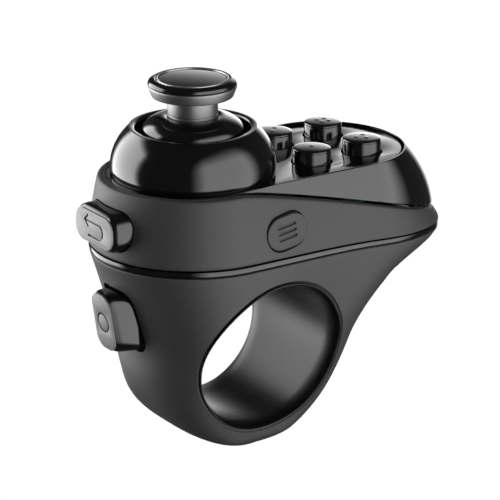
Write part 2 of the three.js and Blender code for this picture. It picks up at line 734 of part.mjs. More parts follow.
const triggerPin = () => bar(0.5, "y", [triggerPinX, -4.3, triggerPinZ], 8.6);
const triggerSpring = () => coil([triggerPinX, 2.25, triggerPinZ], "y", 1.05, 0.14, 0.42, 1, 4, 14);
const triggerSwitch = () => pushSwitch("x", -1, [frontSwitchX, 0, triggerTopZ - 2.1], 1.4);
const frontBoardLow = Math.sqrt(Math.max(0, archRadius ** 2 - frontBoardX ** 2)) + 2.05;
const frontBoard = () => block(frontBoardX - 0.8, frontBoardX, -5.5, 5.5, frontBoardLow, backZ + 2.6);

// ---- Electronics -----------------------------------------------------------------------------------

function mainBoard() {
  const front = frontBoardX + 0.7;
  const length = portX + portLength / 2 + 0.8 - front;
  const outline = roundedShape(front + length / 2, 0, length, 21.2, 2);
  let board = pulled(outline, "z", boardBottomZ, boardTopZ);
  for (const side of [-1, 1]) {
    board = board.subtract(bar(0.8, "z", [boardScrewX, side * boardScrewY, 0], 40, 12));
  }
  return board.subtract(block(boardScrewX - 0.8, boardScrewX + 0.8, -12, -boardScrewY, 0, 40))
    .subtract(block(boardScrewX - 0.8, boardScrewX + 0.8, boardScrewY, 12, 0, 40));
}

function keyBoard() {
  const front = deckStartX + 0.7;
  const length = plateTipX - 3.5 - front;
  const outline = roundedShape(front + length / 2, 0, length, 18, 1.5);
  let board = pulled(outline, "z", keyBoardBottomZ, keyBoardTopZ);
  for (const x of pillarPlaces) {
    board = board.subtract(bar(0.7, "z", [x, 0, 0], 40, 12));
  }
  return board;
}

const screw = (x, y, headZ, headRadius, shankFrom, shankLength, radius) =>
  bar(headRadius, "z", [x, y, headZ], 0.7, 12).add(bar(radius, "z", [x, y, shankFrom], shankLength, 10));

const housingScrew = (side) => screw(screwX, side * screwY, screwHeadZ - 0.1, 1.1, screwHeadZ,
  shellTop(screwX) - 2.6 - screwHeadZ, screwRadius);
const boardScrew = (side) => screw(boardScrewX, side * boardScrewY, boardTopZ + gap, 1.1,
  boardBottomZ - 2.1, boardTopZ - boardBottomZ + 2.6, screwRadius - 0.05);
const keyBoardScrew = (x) => screw(x, 0, keyBoardBottomZ - gap - 0.7, 1, keyBoardBottomZ - 0.6,
  plateBottomZ - 0.7 - keyBoardBottomZ, screwRadius - 0.1);

function usbPort() {
  const [x0, x1] = [portX - portLength / 2, portX + portLength / 2];
  const [z0, z1] = [portZ - portHeight / 2, portZ + portHeight / 2];
  const faceY = tailHalf - 0.4;
  const outer = block(x0, x1, faceY - 5.7, faceY, z0, z1);
  const mouth = block(x0 + 0.4, x1 - 0.4, faceY - 5, faceY + 1, z0 + 0.4, z1 - 0.4);
  const tongue = block(portX - 2.6, portX + 2.6, faceY - 5.3, faceY - 0.6, portZ - 0.1, portZ + 0.4);
  return outer.subtract(mouth).add(tongue);
}

const radioModule = () => block(portX - 5, portX + 2, -7.6, 0.6, boardTopZ + gap, boardTopZ + 1.8);

function battery() {
  const [low, high] = [boardBottomZ - 4.4, boardBottomZ - 0.8];
  const start = Math.sqrt(archRadius ** 2 - low ** 2) + 1;
  return pulled(roundedShape(start + 5, 0, 10, 15.2, 1.2), "z", low, high, 4);
}

const modeSwitchBody = () => block(modeX - 2, modeX + 4, 9.4, 11.6, boardTopZ + gap, modeZ + 0.8);
const modeSwitchKnob = () => block(modeX - 0.8, modeX + 0.8, 11.9, noseRadius + 0.25,
  modeZ - 0.5, modeZ + 0.5);
const frontHeader = () => block(frontBoardX + gap, frontBoardX + 2.6, -3, 3, boardBottomZ - 1.6,
  boardBottomZ - gap);

// A flat flexible strip that turns down from the key board to the main board.
function flexRibbon() {
  const [low, high] = [boardTopZ + gap, keyBoardBottomZ - gap];
  const [bend, centre, thick, start, bendX] = [(high - low) / 2, (high + low) / 2, 0.2,
    plateTipX - 11.7, plateTipX - 8.5];
  const side = new THREE.Shape();
  side.moveTo(-start, low);
  side.lineTo(-bendX, low);
  side.absarc(-bendX, centre, bend, -Math.PI / 2, Math.PI / 2, true);
  side.lineTo(-start, high);
  side.lineTo(-start, high - thick);
  side.lineTo(-bendX, high - thick);
  side.absarc(-bendX, centre, bend - thick, Math.PI / 2, -Math.PI / 2, false);
  side.lineTo(-start, low + thick);
  return pulled(side, "y", -3, 3, 6);
}

// ---- Assembly --------------------------------------------------------------------------------------

const softBlack = { color: 0x2a2a2b, roughness: 0.62, metalness: 0 };
const glossBlack = { color: 0x060607, roughness: 0.08, metalness: 0 };
const satinGrey = { color: 0xa3a4a6, roughness: 0.45, metalness: 0 };
const gunmetal = { color: 0x6b6d70, roughness: 0.3, metalness: 1 };
const brightMetal = { color: 0xd8dadc, roughness: 0.12, metalness: 1 };
const steel = { color: 0xb5b8bb, roughness: 0.3, metalness: 1 };
const boardGreen = { color: 0x14472c, roughness: 0.5, metalness: 0 };
const chipBlack = { color: 0x17181a, roughness: 0.5, metalness: 0 };
const foilSilver = { color: 0xb9bdc2, roughness: 0.35, metalness: 0.6 };
const amber = { color: 0xb46a1e, roughness: 0.4, metalness: 0 };

const controller = new THREE.Group();

function place(name, body, finish, y = 0) {
  const mesh = new THREE.Mesh(geometryOf(body), new THREE.MeshStandardMaterial(finish));
  mesh.name = name;
  mesh.position.y = y;
  controller.add(mesh);
}

place("lower_shell", lowerShell(), softBlack);
place("upper_shell", upperShell(), softBlack);
place("trim_band", trimBand(), glossBlack);
place("ring_liner", ringLiner(), glossBlack);
place("top_cover", topCover(), glossBlack);
place("button_plate", buttonPlate(), glossBlack);
place("stick_collar", stickCollar(), glossBlack);

place("stick_cap", stickCap(), glossBlack);
place("stick_cap_ring", stickCapRing(), brightMetal);
place("stick_cap_insert", stickCapInsert(), glossBlack);
place("stick_stem", stickStem(), gunmetal);
place("stick_ball", stickBall(), glossBlack);
place("stick_shaft", stickShaft(), steel);
place("stick_magnet", stickMagnet(), foilSilver);
place("gimbal_ring", gimbalRing(), steel);
place("stick_case", stickCase(), chipBlack);
place("centring_washer", centringWasher(), steel);
place("centring_spring", centringSpring(), steel);
place("stick_sensor", stickSensor(), chipBlack);

for (const spot of buttonPlaces) {
  place(`face_button_${spot.number}`, faceButton(spot), glossBlack, spot.y);
  place(`face_switch_${spot.number}`, faceSwitch(spot), chipBlack);
}

place("back_button", backButton(), satinGrey);
place("back_switch", backSwitch(), chipBlack);
place("menu_button", menuButton(), softBlack);
place("menu_switch", menuSwitch(), chipBlack);
place("menu_board", menuBoard(), boardGreen);
place("home_trigger", homeTrigger(), satinGrey);
place("trigger_pin", triggerPin(), steel);
place("trigger_spring", triggerSpring(), steel);
place("trigger_switch", triggerSwitch(), chipBlack);
place("front_board", frontBoard(), boardGreen);
place("front_header", frontHeader(), chipBlack);

place("main_board", mainBoard(), boardGreen);
place("key_board", keyBoard(), boardGreen);
place("flex_ribbon", flexRibbon(), amber);
place("radio_module", radioModule(), foilSilver);
place("battery", battery(), foilSilver);
place("usb_port", usbPort(), steel);
place("mode_switch_body", modeSwitchBody(), foilSilver);
place("mode_switch_knob", modeSwitchKnob(), chipBlack);

for (const [index, side] of [-1, 1].entries()) {
  place(`housing_screw_${index + 1}`, housingScrew(side), steel);
  place(`board_screw_${index + 1}`, boardScrew(side), steel);
}
for (const [index, x] of pillarPlaces.entries()) {
  place(`key_board_screw_${index + 1}`, keyBoardScrew(x), steel);
}

export default controller;
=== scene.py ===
"""Looks of a ring-shaped motion controller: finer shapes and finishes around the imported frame.

Sizes below are in millimetres unless they sit in a PropertyGroup, which holds metres.
-X is the front, under the stick; +X is the tail; the finger bore lies along Y; +Z is up.
"""

import math
from types import SimpleNamespace

import bmesh
import bpy
from mathutils import Matrix, Vector


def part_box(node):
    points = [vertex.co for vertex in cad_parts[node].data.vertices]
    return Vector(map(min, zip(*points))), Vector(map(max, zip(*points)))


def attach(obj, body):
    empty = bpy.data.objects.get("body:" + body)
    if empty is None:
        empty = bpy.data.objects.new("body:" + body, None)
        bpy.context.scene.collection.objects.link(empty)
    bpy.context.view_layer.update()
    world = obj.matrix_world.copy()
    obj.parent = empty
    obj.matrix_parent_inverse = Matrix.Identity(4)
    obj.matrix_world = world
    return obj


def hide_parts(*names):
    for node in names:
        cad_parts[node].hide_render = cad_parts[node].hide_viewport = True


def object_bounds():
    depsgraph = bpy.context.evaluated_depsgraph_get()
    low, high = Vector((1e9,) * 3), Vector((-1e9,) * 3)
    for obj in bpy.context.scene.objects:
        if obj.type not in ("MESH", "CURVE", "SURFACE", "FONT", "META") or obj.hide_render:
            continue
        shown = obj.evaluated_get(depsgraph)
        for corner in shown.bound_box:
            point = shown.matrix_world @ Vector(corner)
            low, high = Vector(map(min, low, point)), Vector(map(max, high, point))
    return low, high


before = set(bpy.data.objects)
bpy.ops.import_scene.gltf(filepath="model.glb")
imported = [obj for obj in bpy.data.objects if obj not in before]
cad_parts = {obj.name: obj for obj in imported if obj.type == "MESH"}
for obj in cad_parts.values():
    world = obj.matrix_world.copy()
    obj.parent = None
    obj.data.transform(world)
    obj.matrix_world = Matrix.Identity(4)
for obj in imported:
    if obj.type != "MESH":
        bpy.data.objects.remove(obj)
CAD_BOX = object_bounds()

bl_info = {
    "name": "Ring Motion Controller",
    "version": (1, 0, 0),
    "blender": (4, 5, 0),
    "location": "3D View > Sidebar > Controller",
    "description": "Builds the finished look of a ring-shaped motion controller",
    "category": "Add Mesh",
}

MM = 0.001
AROUND = 112  # facets of a turned piece
ICON_DEPTH = 0.22  # of the engraved marks
SHARP = 38  # degrees between faces from which an edge stays sharp
MENU_LEAN = 9  # degrees, the tail end of the menu button higher than its front end


# ---- Properties ------------------------------------------------------------


def length(name, millimetres, description):
    return bpy.props.FloatProperty(
        name=name, default=millimetres * MM, min=0, description=description,
        subtype="DISTANCE", unit="LENGTH", precision=5)


def share(name, default, description):
    return bpy.props.FloatProperty(
        name=name, default=default, min=0, max=1, description=description, subtype="FACTOR")


def colour(name, default, description):
    return bpy.props.FloatVectorProperty(
        name=name, default=default, size=3, min=0, max=1, description=description,
        subtype="COLOR")


class BodySizes(bpy.types.PropertyGroup):
    """Outline of the ring and the body."""

    bore_radius: length("Bore radius", 11, "Inside of the finger ring")
    rim_radius: length("Rim radius", 11.66, "Flared mouth of the ring liner")
    ring_depth: length("Ring depth", 15.05, "Bottom of the ring below the bore axis")
    ring_half_length: length("Ring half length", 16.2, "Half length of the ring at the bore axis")
    ring_bottom_half: length("Ring bottom half", 8.8, "Half width of the ring at its lowest part")
    arch_radius: length("Arch radius", 13.3, "Outside of the shell's arch over the finger")
    nose_radius: length("Nose radius", 14.89, "Round front at the parting line")
    tail_reach: length("Tail", 34.8, "End of the tail behind the bore axis")
    tail_station: length("Tail station", 18, "Where the tail begins to round off")
    tail_half: length("Tail half width", 13.3, "Half width where the tail rounds off")
    parting: length("Parting height", 14.76, "Parting line above the bore axis")
    tail_drop: length("Tail drop", 2.16, "Fall of the parting line towards the tail")
    trim_height: length("Trim height", 0.9, "Height of the gloss trim at the nose")
    deck: length("Deck height", 25.34, "Top face of the button plate")
    wall: length("Wall", 1.5, "Shell wall")
    gap: length("Gap", 0.3, "Between pieces")


class TopSizes(bpy.types.PropertyGroup):
    """Cover, plate and stick."""

    collar_radius: length("Collar radius", 11.7, "Widest part of the dome around the stick")
    plate_half: length("Plate half width", 11.12, "Half width of the button plate")
    plate_station: length("Plate station", 17, "Where the plate begins to round off")
    plate_tip: length("Plate tip", 27.7, "Rear end of the button plate")
    rim_width: length("Rim width", 0.4, "Thin rim around the plate")
    rim_height: length("Rim height", 0.36, "Rim above the plate")
    ball_radius: length("Ball radius", 7.35, "Moving dome under the stick")
    stem_radius: length("Stem radius", 3.55, "Metal stem of the stick")
    cap_radius: length("Cap radius", 6.35, "Widest part of the stick's cap")
    button_radius: length("Button radius", 2.75, "Round buttons on the deck")


class Finishes(bpy.types.PropertyGroup):
    """Colours of the finishes."""

    soft_black: colour("Soft black", (0.0125, 0.0125, 0.013), "Matte soft-touch shells")
    gloss_black: colour("Gloss black", (0.0022, 0.0022, 0.0025), "Polished plastic")
    # Painted reflection: the front button faces are matte, and this grey stands in for the lamp
    # light they reflect.
    satin_grey: colour("Painted reflection grey", (0.12, 0.121, 0.124), "Faces of the front buttons")
    gunmetal: colour("Gunmetal", (0.2, 0.202, 0.206), "Stem and lower edge of the cap")
    bright_metal: colour("Bright metal", (0.5, 0.51, 0.52), "Ring on the cap")
    steel: colour("Steel", (0.5, 0.51, 0.53), "Screws, pins and springs")
    board_green: colour("Board green", (0.006, 0.06, 0.024), "Circuit boards")
    chip_black: colour("Chip black", (0.012, 0.012, 0.013), "Moulded switches and chips")
    foil_silver: colour("Foil silver", (0.55, 0.56, 0.58), "Battery and shielding cans")
    amber_film: colour("Amber film", (0.4, 0.12, 0.012), "Flexible ribbon")
    grain: share("Grain", 0.5, "Depth of the soft-touch grain")


class StageSettings(bpy.types.PropertyGroup):
    """Floor, light and camera."""

    floor_colour: colour("Floor", (0.9, 0.9, 0.9), "Plain pale floor")
    key_power: bpy.props.FloatProperty(name="Key power", default=1.0, min=0,
                                       description="Strength of all the lamps")
    focal: bpy.props.FloatProperty(name="Focal length", default=206.24, min=1,
                                   description="Camera lens in millimetres")


def in_mm(group):
    """All the lengths of a group, in millimetres."""
    return SimpleNamespace(**{key: getattr(group, key) / MM for key in group.__annotations__})


def body_sizes():
    return in_mm(bpy.context.scene.controller_body)


def top_sizes():
    return in_mm(bpy.context.scene.controller_top)


# ---- Shader maths ----------------------------------------------------------


class Wire:
    """One output of a node, which can be used in sums; each sum adds its Math node."""

    def __init__(self, shader, socket):
        self.shader = shader
        self.socket = socket

    def maths(self, operation, *values):
        inputs = dict(enumerate(values))
        return self.shader.node("ShaderNodeMath", {"operation": operation}, inputs)

    def __add__(self, other):
        return self.maths("ADD", self, other)

    def __radd__(self, other):
        return self.maths("ADD", other, self)

    def __sub__(self, other):
        return self.maths("SUBTRACT", self, other)

    def __rsub__(self, other):
        return self.maths("SUBTRACT", other, self)

    def __mul__(self, other):
        return self.maths("MULTIPLY", self, other)

    def __rmul__(self, other):
        return self.maths("MULTIPLY", other, self)

    def __truediv__(self, other):
        return self.maths("DIVIDE", self, other)

    def __gt__(self, other):
        return self.maths("GREATER_THAN", self, other)

    def __lt__(self, other):
        return self.maths("LESS_THAN", self, other)

    def fraction(self):
        return self.maths("FRACT", self)

    def clamped(self):
        return self.maths("MINIMUM", self.maths("MAXIMUM", self, 0.0), 1.0)


class Shader:
    """A material and its nodes."""

    def __init__(self, name):
        self.material = bpy.data.materials.new(name)
        self.material.use_nodes = True
        self.tree = self.material.node_tree
        self.tree.nodes.clear()

    def node(self, kind, settings=None, inputs=None, output=0):
        """Adds a node: its settings first, then the values or wires of its inputs."""
        node = self.tree.nodes.new(kind)
        for key, value in (settings or {}).items():
            if key == "stops":
                self.stops(node.color_ramp, value)
            else:
                setattr(node, key, value)
        for key, value in (inputs or {}).items():
            socket = node.inputs[key]
            if isinstance(value, Wire):
                self.tree.links.new(value.socket, socket)
            else:
                socket.default_value = value
        return Wire(self, node.outputs[output]) if node.outputs else node

    @staticmethod
    def stops(ramp, stops):
        while len(ramp.elements) < len(stops):
            ramp.elements.new(0.5)
        for element, (position, value) in zip(ramp.elements, stops):
            element.position = position
            element.color = (value, value, value, 1)

    def place(self, stretch=(1, 1, 1)):
        """Object coordinates in millimetres, stretched along the axes."""
        where = self.node("ShaderNodeTexCoord", output="Object")
        factors = tuple(value / MM for value in stretch)
        return self.node("ShaderNodeVectorMath", {"operation": "MULTIPLY"}, {0: where, 1: factors})

    def noise(self, scale, detail=3.0, roughness=0.55, stretch=(1, 1, 1)):
        """Noise around 0.5; scale is in features per millimetre."""
        inputs = {"Vector": self.place(stretch), "Scale": scale, "Detail": detail,
                  "Roughness": roughness}
        return self.node("ShaderNodeTexNoise", None, inputs, "Fac")

    def cells(self, scale, feature="F1", stretch=(1, 1, 1)):
        inputs = {"Vector": self.place(stretch), "Scale": scale}
        return self.node("ShaderNodeTexVoronoi", {"feature": feature}, inputs, "Distance")

    def ramp(self, value, stops):
        return self.node("ShaderNodeValToRGB", {"stops": stops}, {"Fac": value}, "Color")

    def blend(self, factor, first, second):
        """Mixes two colours, each a triple or a wire."""
        inputs = {0: factor, 6: widened(first), 7: widened(second)}
        return self.node("ShaderNodeMix", {"data_type": "RGBA"}, inputs, 2)

    def bump(self, height, strength, distance):
        inputs = {"Height": height, "Strength": strength, "Distance": distance * MM}
        return self.node("ShaderNodeBump", None, inputs)

    def finish(self, **inputs):
        """Ends in a Principled surface; underscores in the names stand for spaces."""
        named = {key.replace("_", " "): value for key, value in inputs.items()}
        if "Base Color" in named:
            named["Base Color"] = widened(named["Base Color"])
        surface = self.node("ShaderNodeBsdfPrincipled", None, named)
        self.node("ShaderNodeOutputMaterial", None, {"Surface": surface})
        return self.material


def widened(value):
    return value if isinstance(value, Wire) else (*value[:3], 1)


def tint(rgb, factor):
    return tuple(channel * factor for channel in rgb)


def soft_touch(name, finishes):
    """Matte soft-touch coat: fine pebbled grain, faint cloudy wear."""
    shader = Shader(name)
    cloud = shader.noise(0.09, 4.0)
    grain = shader.noise(5.5, 2.0, 0.6)
    pebble = shader.cells(4.2)
    tone = shader.blend(shader.ramp(cloud, ((0.3, 0), (0.7, 1))),
                        tint(finishes.soft_black, 0.85), tint(finishes.soft_black, 1.15))
    speck = shader.ramp(grain, ((0.35, 0), (0.75, 1)))
    base = shader.blend(speck, tone, tint(finishes.soft_black, 1.9))
    height = grain * 0.6 + pebble * 0.5
    return shader.finish(
        Base_Color=base, Roughness=0.5 + cloud * 0.1 + grain * 0.08,
        Specular_IOR_Level=0.55, Normal=shader.bump(height, finishes.grain, 0.035))


def polished(name, rgb):
    """Polished plastic: deep black, very slight waviness, faint smears and dust."""
    shader = Shader(name)
    smears = shader.noise(0.22, 3.0, 0.6, (1, 0.35, 1))
    wave = shader.noise(0.32, 1.0, 0.4)
    dust = shader.cells(1.3) < 0.012
    base = shader.blend(dust, rgb, tint(rgb, 6))
    return shader.finish(
        Base_Color=base, Roughness=0.1 + smears * 0.05 + dust * 0.25,
        Specular_IOR_Level=0.6,
        Normal=shader.bump(wave, 0.03, 0.02))


def sleeve_black(name, rgb):
    """Smooth black sleeve, softly polished by wear, with faint turning marks along the bore."""
    shader = Shader(name)
    cloud = shader.noise(0.2, 3.0)
    marks = shader.noise(1.6, 2.0, 0.6, (0.15, 4, 0.15))
    base = shader.blend(cloud, tint(rgb, 0.9), tint(rgb, 1.6))
    return shader.finish(
        Base_Color=base, Roughness=0.3 + cloud * 0.06 + marks * 0.05, Specular_IOR_Level=0.2,
        Normal=shader.bump(marks, 0.06, 0.01))


def satin_plastic(name, rgb):
    """Satin moulded plastic: very fine spark grain, slightly uneven tone."""
    shader = Shader(name)
    cloud = shader.noise(0.3, 3.0)
    grain = shader.noise(9.0, 2.0)
    base = shader.blend(cloud, tint(rgb, 0.88), tint(rgb, 1.1))
    return shader.finish(
        Base_Color=base, Roughness=0.36 + grain * 0.14, Specular_IOR_Level=0.5,
        Normal=shader.bump(grain, 0.2, 0.02))


def turned_metal(name, rgb, rough):
    """Metal turned on a lathe: fine rings around the upright axis."""
    shader = Shader(name)
    rings = shader.noise(2.2, 3.0, 0.7, (0.08, 0.08, 9))
    cloud = shader.noise(0.5, 2.0)
    base = shader.blend(rings, tint(rgb, 0.82), tint(rgb, 1.12))
    return shader.finish(
        Base_Color=base, Metallic=1.0, Roughness=rough + rings * 0.12 + cloud * 0.05,
        Normal=shader.bump(rings, 0.12, 0.01))


def solder_board(name, rgb):
    """Circuit board: solder mask over tracks, with tinned pads and vias."""
    shader = Shader(name)
    cells = shader.cells(0.55, "DISTANCE_TO_EDGE")
    track = shader.ramp(cells, ((0.06, 1), (0.1, 0)))
    via = shader.cells(0.8) < 0.12
    green = shader.blend(track, rgb, tint(rgb, 1.7))
    base = shader.blend(via, green, (0.62, 0.6, 0.55))
    return shader.finish(
        Base_Color=base, Metallic=via * 0.9, Roughness=0.42 - via * 0.15,
        Normal=shader.bump(track, 0.25, 0.03))


def crinkled_foil(name, rgb):
    """Thin silver foil or plated sheet with soft creases."""
    shader = Shader(name)
    crease = shader.cells(0.35)
    fine = shader.noise(2.4, 3.0)
    base = shader.blend(crease, tint(rgb, 0.85), tint(rgb, 1.1))
    return shader.finish(
        Base_Color=base, Metallic=0.85, Roughness=0.24 + fine * 0.2,
        Normal=shader.bump(crease + fine * 0.2, 0.3, 0.05))


def ribbon_film(name, rgb):
    """Amber film with copper tracks along it."""
    shader = Shader(name)
    across = shader.node("ShaderNodeSeparateXYZ", None, {0: shader.place()}, "Y")
    track = (across * 1.6).fraction() > 0.45
    mottle = shader.noise(1.5, 2.0)
    base = shader.blend(track, tint(rgb, 0.55), rgb)
    return shader.finish(
        Base_Color=base, Metallic=track * 0.3, Roughness=0.3 + mottle * 0.15,
        Normal=shader.bump(track, 0.3, 0.02))


def make_materials():
    f = bpy.context.scene.controller_finishes
    return {
        "soft_black": soft_touch("soft_black_coat", f),
        "gloss_black": polished("gloss_black_plastic", tuple(f.gloss_black)),
        "sleeve": sleeve_black("sleeve_plastic", tuple(f.gloss_black)),
        # The grey of the front button faces is painted reflection.
        "satin_grey": satin_plastic("satin_grey_plastic", tuple(f.satin_grey)),
        "gunmetal": turned_metal("gunmetal_turned", tuple(f.gunmetal), 0.36),
        "bright_metal": turned_metal("bright_turned", tuple(f.bright_metal), 0.2),
        "steel": turned_metal("steel_plated", tuple(f.steel), 0.22),
        "board_green": solder_board("board_solder_mask", tuple(f.board_green)),
        "chip_black": satin_plastic("chip_moulding", tuple(f.chip_black)),
        "foil_silver": crinkled_foil("foil_sheet", tuple(f.foil_silver)),
        "amber_film": ribbon_film("amber_ribbon", tuple(f.amber_film)),
    }


def finish_of(slot):
    """The material of a slot, made the first time that any piece asks for one."""
    if not any("controller_slot" in m for m in bpy.data.materials):
        for key, material in make_materials().items():
            material["controller_slot"] = key
    return next(m for m in bpy.data.materials if m.get("controller_slot") == slot)


# ---- Mesh helpers ----------------------------------------------------------


def clamp(value, low=0.0, high=1.0):
    return min(high, max(low, value))


def mix(a, b, t):
    return a + (b - a) * t


def smooth(value):
    value = clamp(value)
    return value * value * (3 - 2 * value)


def mesh_of(points, faces):
    """A mesh in metres with its normals outwards."""
    mesh = bpy.data.meshes.new("form")
    mesh.from_pydata([[c * MM for c in point] for point in points], [], faces)
    return tidied(mesh)


def tidied(mesh, weld=2e-6):
    shape = bmesh.new()
    shape.from_mesh(mesh)
    bmesh.ops.remove_doubles(shape, verts=shape.verts, dist=weld)
    bmesh.ops.dissolve_degenerate(shape, edges=shape.edges, dist=1e-7)
    bmesh.ops.recalc_face_normals(shape, faces=shape.faces)
    shape.to_mesh(mesh)
    shape.free()
    return mesh


def lofted(rings, closed=False):
    """A skin over a stack of closed rings, capped at the ends or closed on itself."""
    count = len(rings[0])
    points = [point for ring in rings for point in ring]
    spans = len(rings) if closed else len(rings) - 1
    faces = []
    for k in range(spans):
        low, high = k * count, ((k + 1) % len(rings)) * count
        for i in range(count):
            j = (i + 1) % count
            faces.append((low + i, low + j, high + j, high + i))
    if not closed:
        last = (len(rings) - 1) * count
        faces.append(tuple(range(count))[::-1])
        faces.append(tuple(range(last, last + count)))
    return mesh_of(points, faces)


def rounded(corners, steps=4, closed=True):
    """A polyline of (x, y, radius) corners with each corner rounded."""
    path = []
    count = len(corners)
    for i, (x, y, radius) in enumerate(corners):
        here = Vector((x, y))
        if radius <= 0 or (not closed and i in (0, count - 1)):
            path.append(tuple(here))
            continue
        before = Vector(corners[i - 1][:2]) - here
        after = Vector(corners[(i + 1) % count][:2]) - here
        half = before.angle(after) / 2
        reach = radius / math.tan(half)
        start, end = here + before.normalized() * reach, here + after.normalized() * reach
        inwards = (before.normalized() + after.normalized()).normalized()
        middle = here + inwards * radius / math.sin(half)
        first, last = start - middle, end - middle
        turn = first.angle_signed(last)
        for step in range(steps + 1):
            spin = Matrix.Rotation(-turn * step / steps, 2)
            path.append(tuple(middle + spin @ first))
    return path


def turned(profile, centre, axis="z", sides=AROUND):
    """A closed profile of (radius, height) turned about an axis through the centre."""
    rings = []
    for radius, height in profile:
        ring = []
        for i in range(sides):
            angle = 2 * math.pi * i / sides
            u, v = radius * math.cos(angle), radius * math.sin(angle)
            offset = {"z": (u, v, height), "y": (v, height, u)}[axis]
            ring.append(tuple(c + o for c, o in zip(centre, offset)))
        rings.append(ring)
    return lofted(rings, closed=True)


def solid_of_turning(profile, centre, axis="z", sides=AROUND):
    """A profile that starts and ends on the axis, turned about it."""
    opened = [(max(radius, 0.0005), height) for radius, height in profile]
    return turned(opened, centre, axis, sides)


FACINGS = {
    "z": ((1, 0, 0), (0, 1, 0), (0, 0, 1)),
    "-x": ((0, -1, 0), (0, 0, 1), (-1, 0, 0)),
    "-y": ((1, 0, 0), (0, 0, 1), (0, -1, 0)),
    "y": ((-1, 0, 0), (0, 0, 1), (0, 1, 0)),
}


def facing(direction, origin):
    """The placing of a flat drawing: right, up and outwards, at the origin in millimetres."""
    u, v, w = direction if isinstance(direction, tuple) else FACINGS[direction]
    rows = [[u[i], v[i], w[i], origin[i]] for i in range(3)] + [[0, 0, 0, 1]]
    return Matrix(rows)


def plate(outlines, placing, low, high, bevel=0.0, resolution=3):
    """A flat plate between two heights, drawn by nested outlines, with rounded edges."""
    drawing = bpy.data.curves.new("drawing", "CURVE")
    drawing.dimensions = "2D"
    drawing.fill_mode = "BOTH"
    drawing.extrude = (high - low) / 2 - bevel
    drawing.bevel_depth = bevel
    drawing.bevel_resolution = resolution
    drawing.offset = -bevel
    for outline in outlines:
        spline = drawing.splines.new("POLY")
        spline.points.add(len(outline) - 1)
        for point, (u, v) in zip(spline.points, outline):
            point.co = (u, v, 0, 1)
        spline.use_cyclic_u = True
    holder = bpy.data.objects.new("drawing", drawing)
    mesh = bpy.data.meshes.new_from_object(holder)
    bpy.data.objects.remove(holder)
    bpy.data.curves.remove(drawing)
    lift = Matrix.Translation((0, 0, (low + high) / 2))
    mesh.transform(Matrix.Scale(MM, 4) @ placing @ lift)
    return tidied(mesh)


def circle(radius, centre=(0, 0), sides=64):
    turns = [2 * math.pi * i / sides for i in range(sides)]
    return [(centre[0] + radius * math.cos(t), centre[1] + radius * math.sin(t)) for t in turns]


def rounded_box(width, height, radius, centre=(0, 0), steps=10):
    u, v = width / 2, height / 2
    corners = [(-u, -v), (u, -v), (u, v), (-u, v)]
    radius = min(radius, u - 1e-3, v - 1e-3)
    return rounded([(centre[0] + a, centre[1] + b, radius) for a, b in corners], steps)


def joined(*meshes):
    """Several closed meshes as one."""
    shape = bmesh.new()
    for mesh in meshes:
        shape.from_mesh(mesh)
    result = bpy.data.meshes.new("form")
    shape.to_mesh(result)
    shape.free()
    return result


def carved(mesh, *tools):
    """The mesh with the tools cut away."""
    scene = bpy.context.scene.collection
    blank = bpy.data.objects.new("blank", mesh)
    scene.objects.link(blank)
    helpers = [blank]
    for tool in tools:
        helper = bpy.data.objects.new("tool", tool)
        scene.objects.link(helper)
        helpers.append(helper)
        cut = blank.modifiers.new("cut", "BOOLEAN")
        cut.operation = "DIFFERENCE"
        cut.solver = "EXACT"
        cut.object = helper
    state = bpy.context.evaluated_depsgraph_get()
    result = bpy.data.meshes.new_from_object(blank.evaluated_get(state))
    for helper in helpers:
        bpy.data.objects.remove(helper)
    return tidied(result)


def add_piece(name, mesh, body, slot, stands_for=(), finish=None):
    """Links a finished piece, gives it its finish and its body, and hides the nodes it stands for.
    """
    mesh.shade_smooth()
    mesh.set_sharp_from_angle(angle=math.radians(SHARP))
    mesh.materials.clear()
    mesh.materials.append(finish_of(finish or slot))
    mesh.name = name
    piece = bpy.data.objects.new(name, mesh)
    bpy.context.scene.collection.objects.link(piece)
    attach(piece, body)
    if stands_for:
        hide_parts(*stands_for)
    return piece


def middle_of(node):
    """The middle of a CAD node's box, in millimetres."""
    low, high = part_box(node)
    return (low + high) / (2 * MM)


def corners_of(node):
    """The lowest and highest corners of a CAD node, in millimetres."""
    low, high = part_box(node)
    return low / MM, high / MM


# ---- Body outline ----------------------------------------------------------


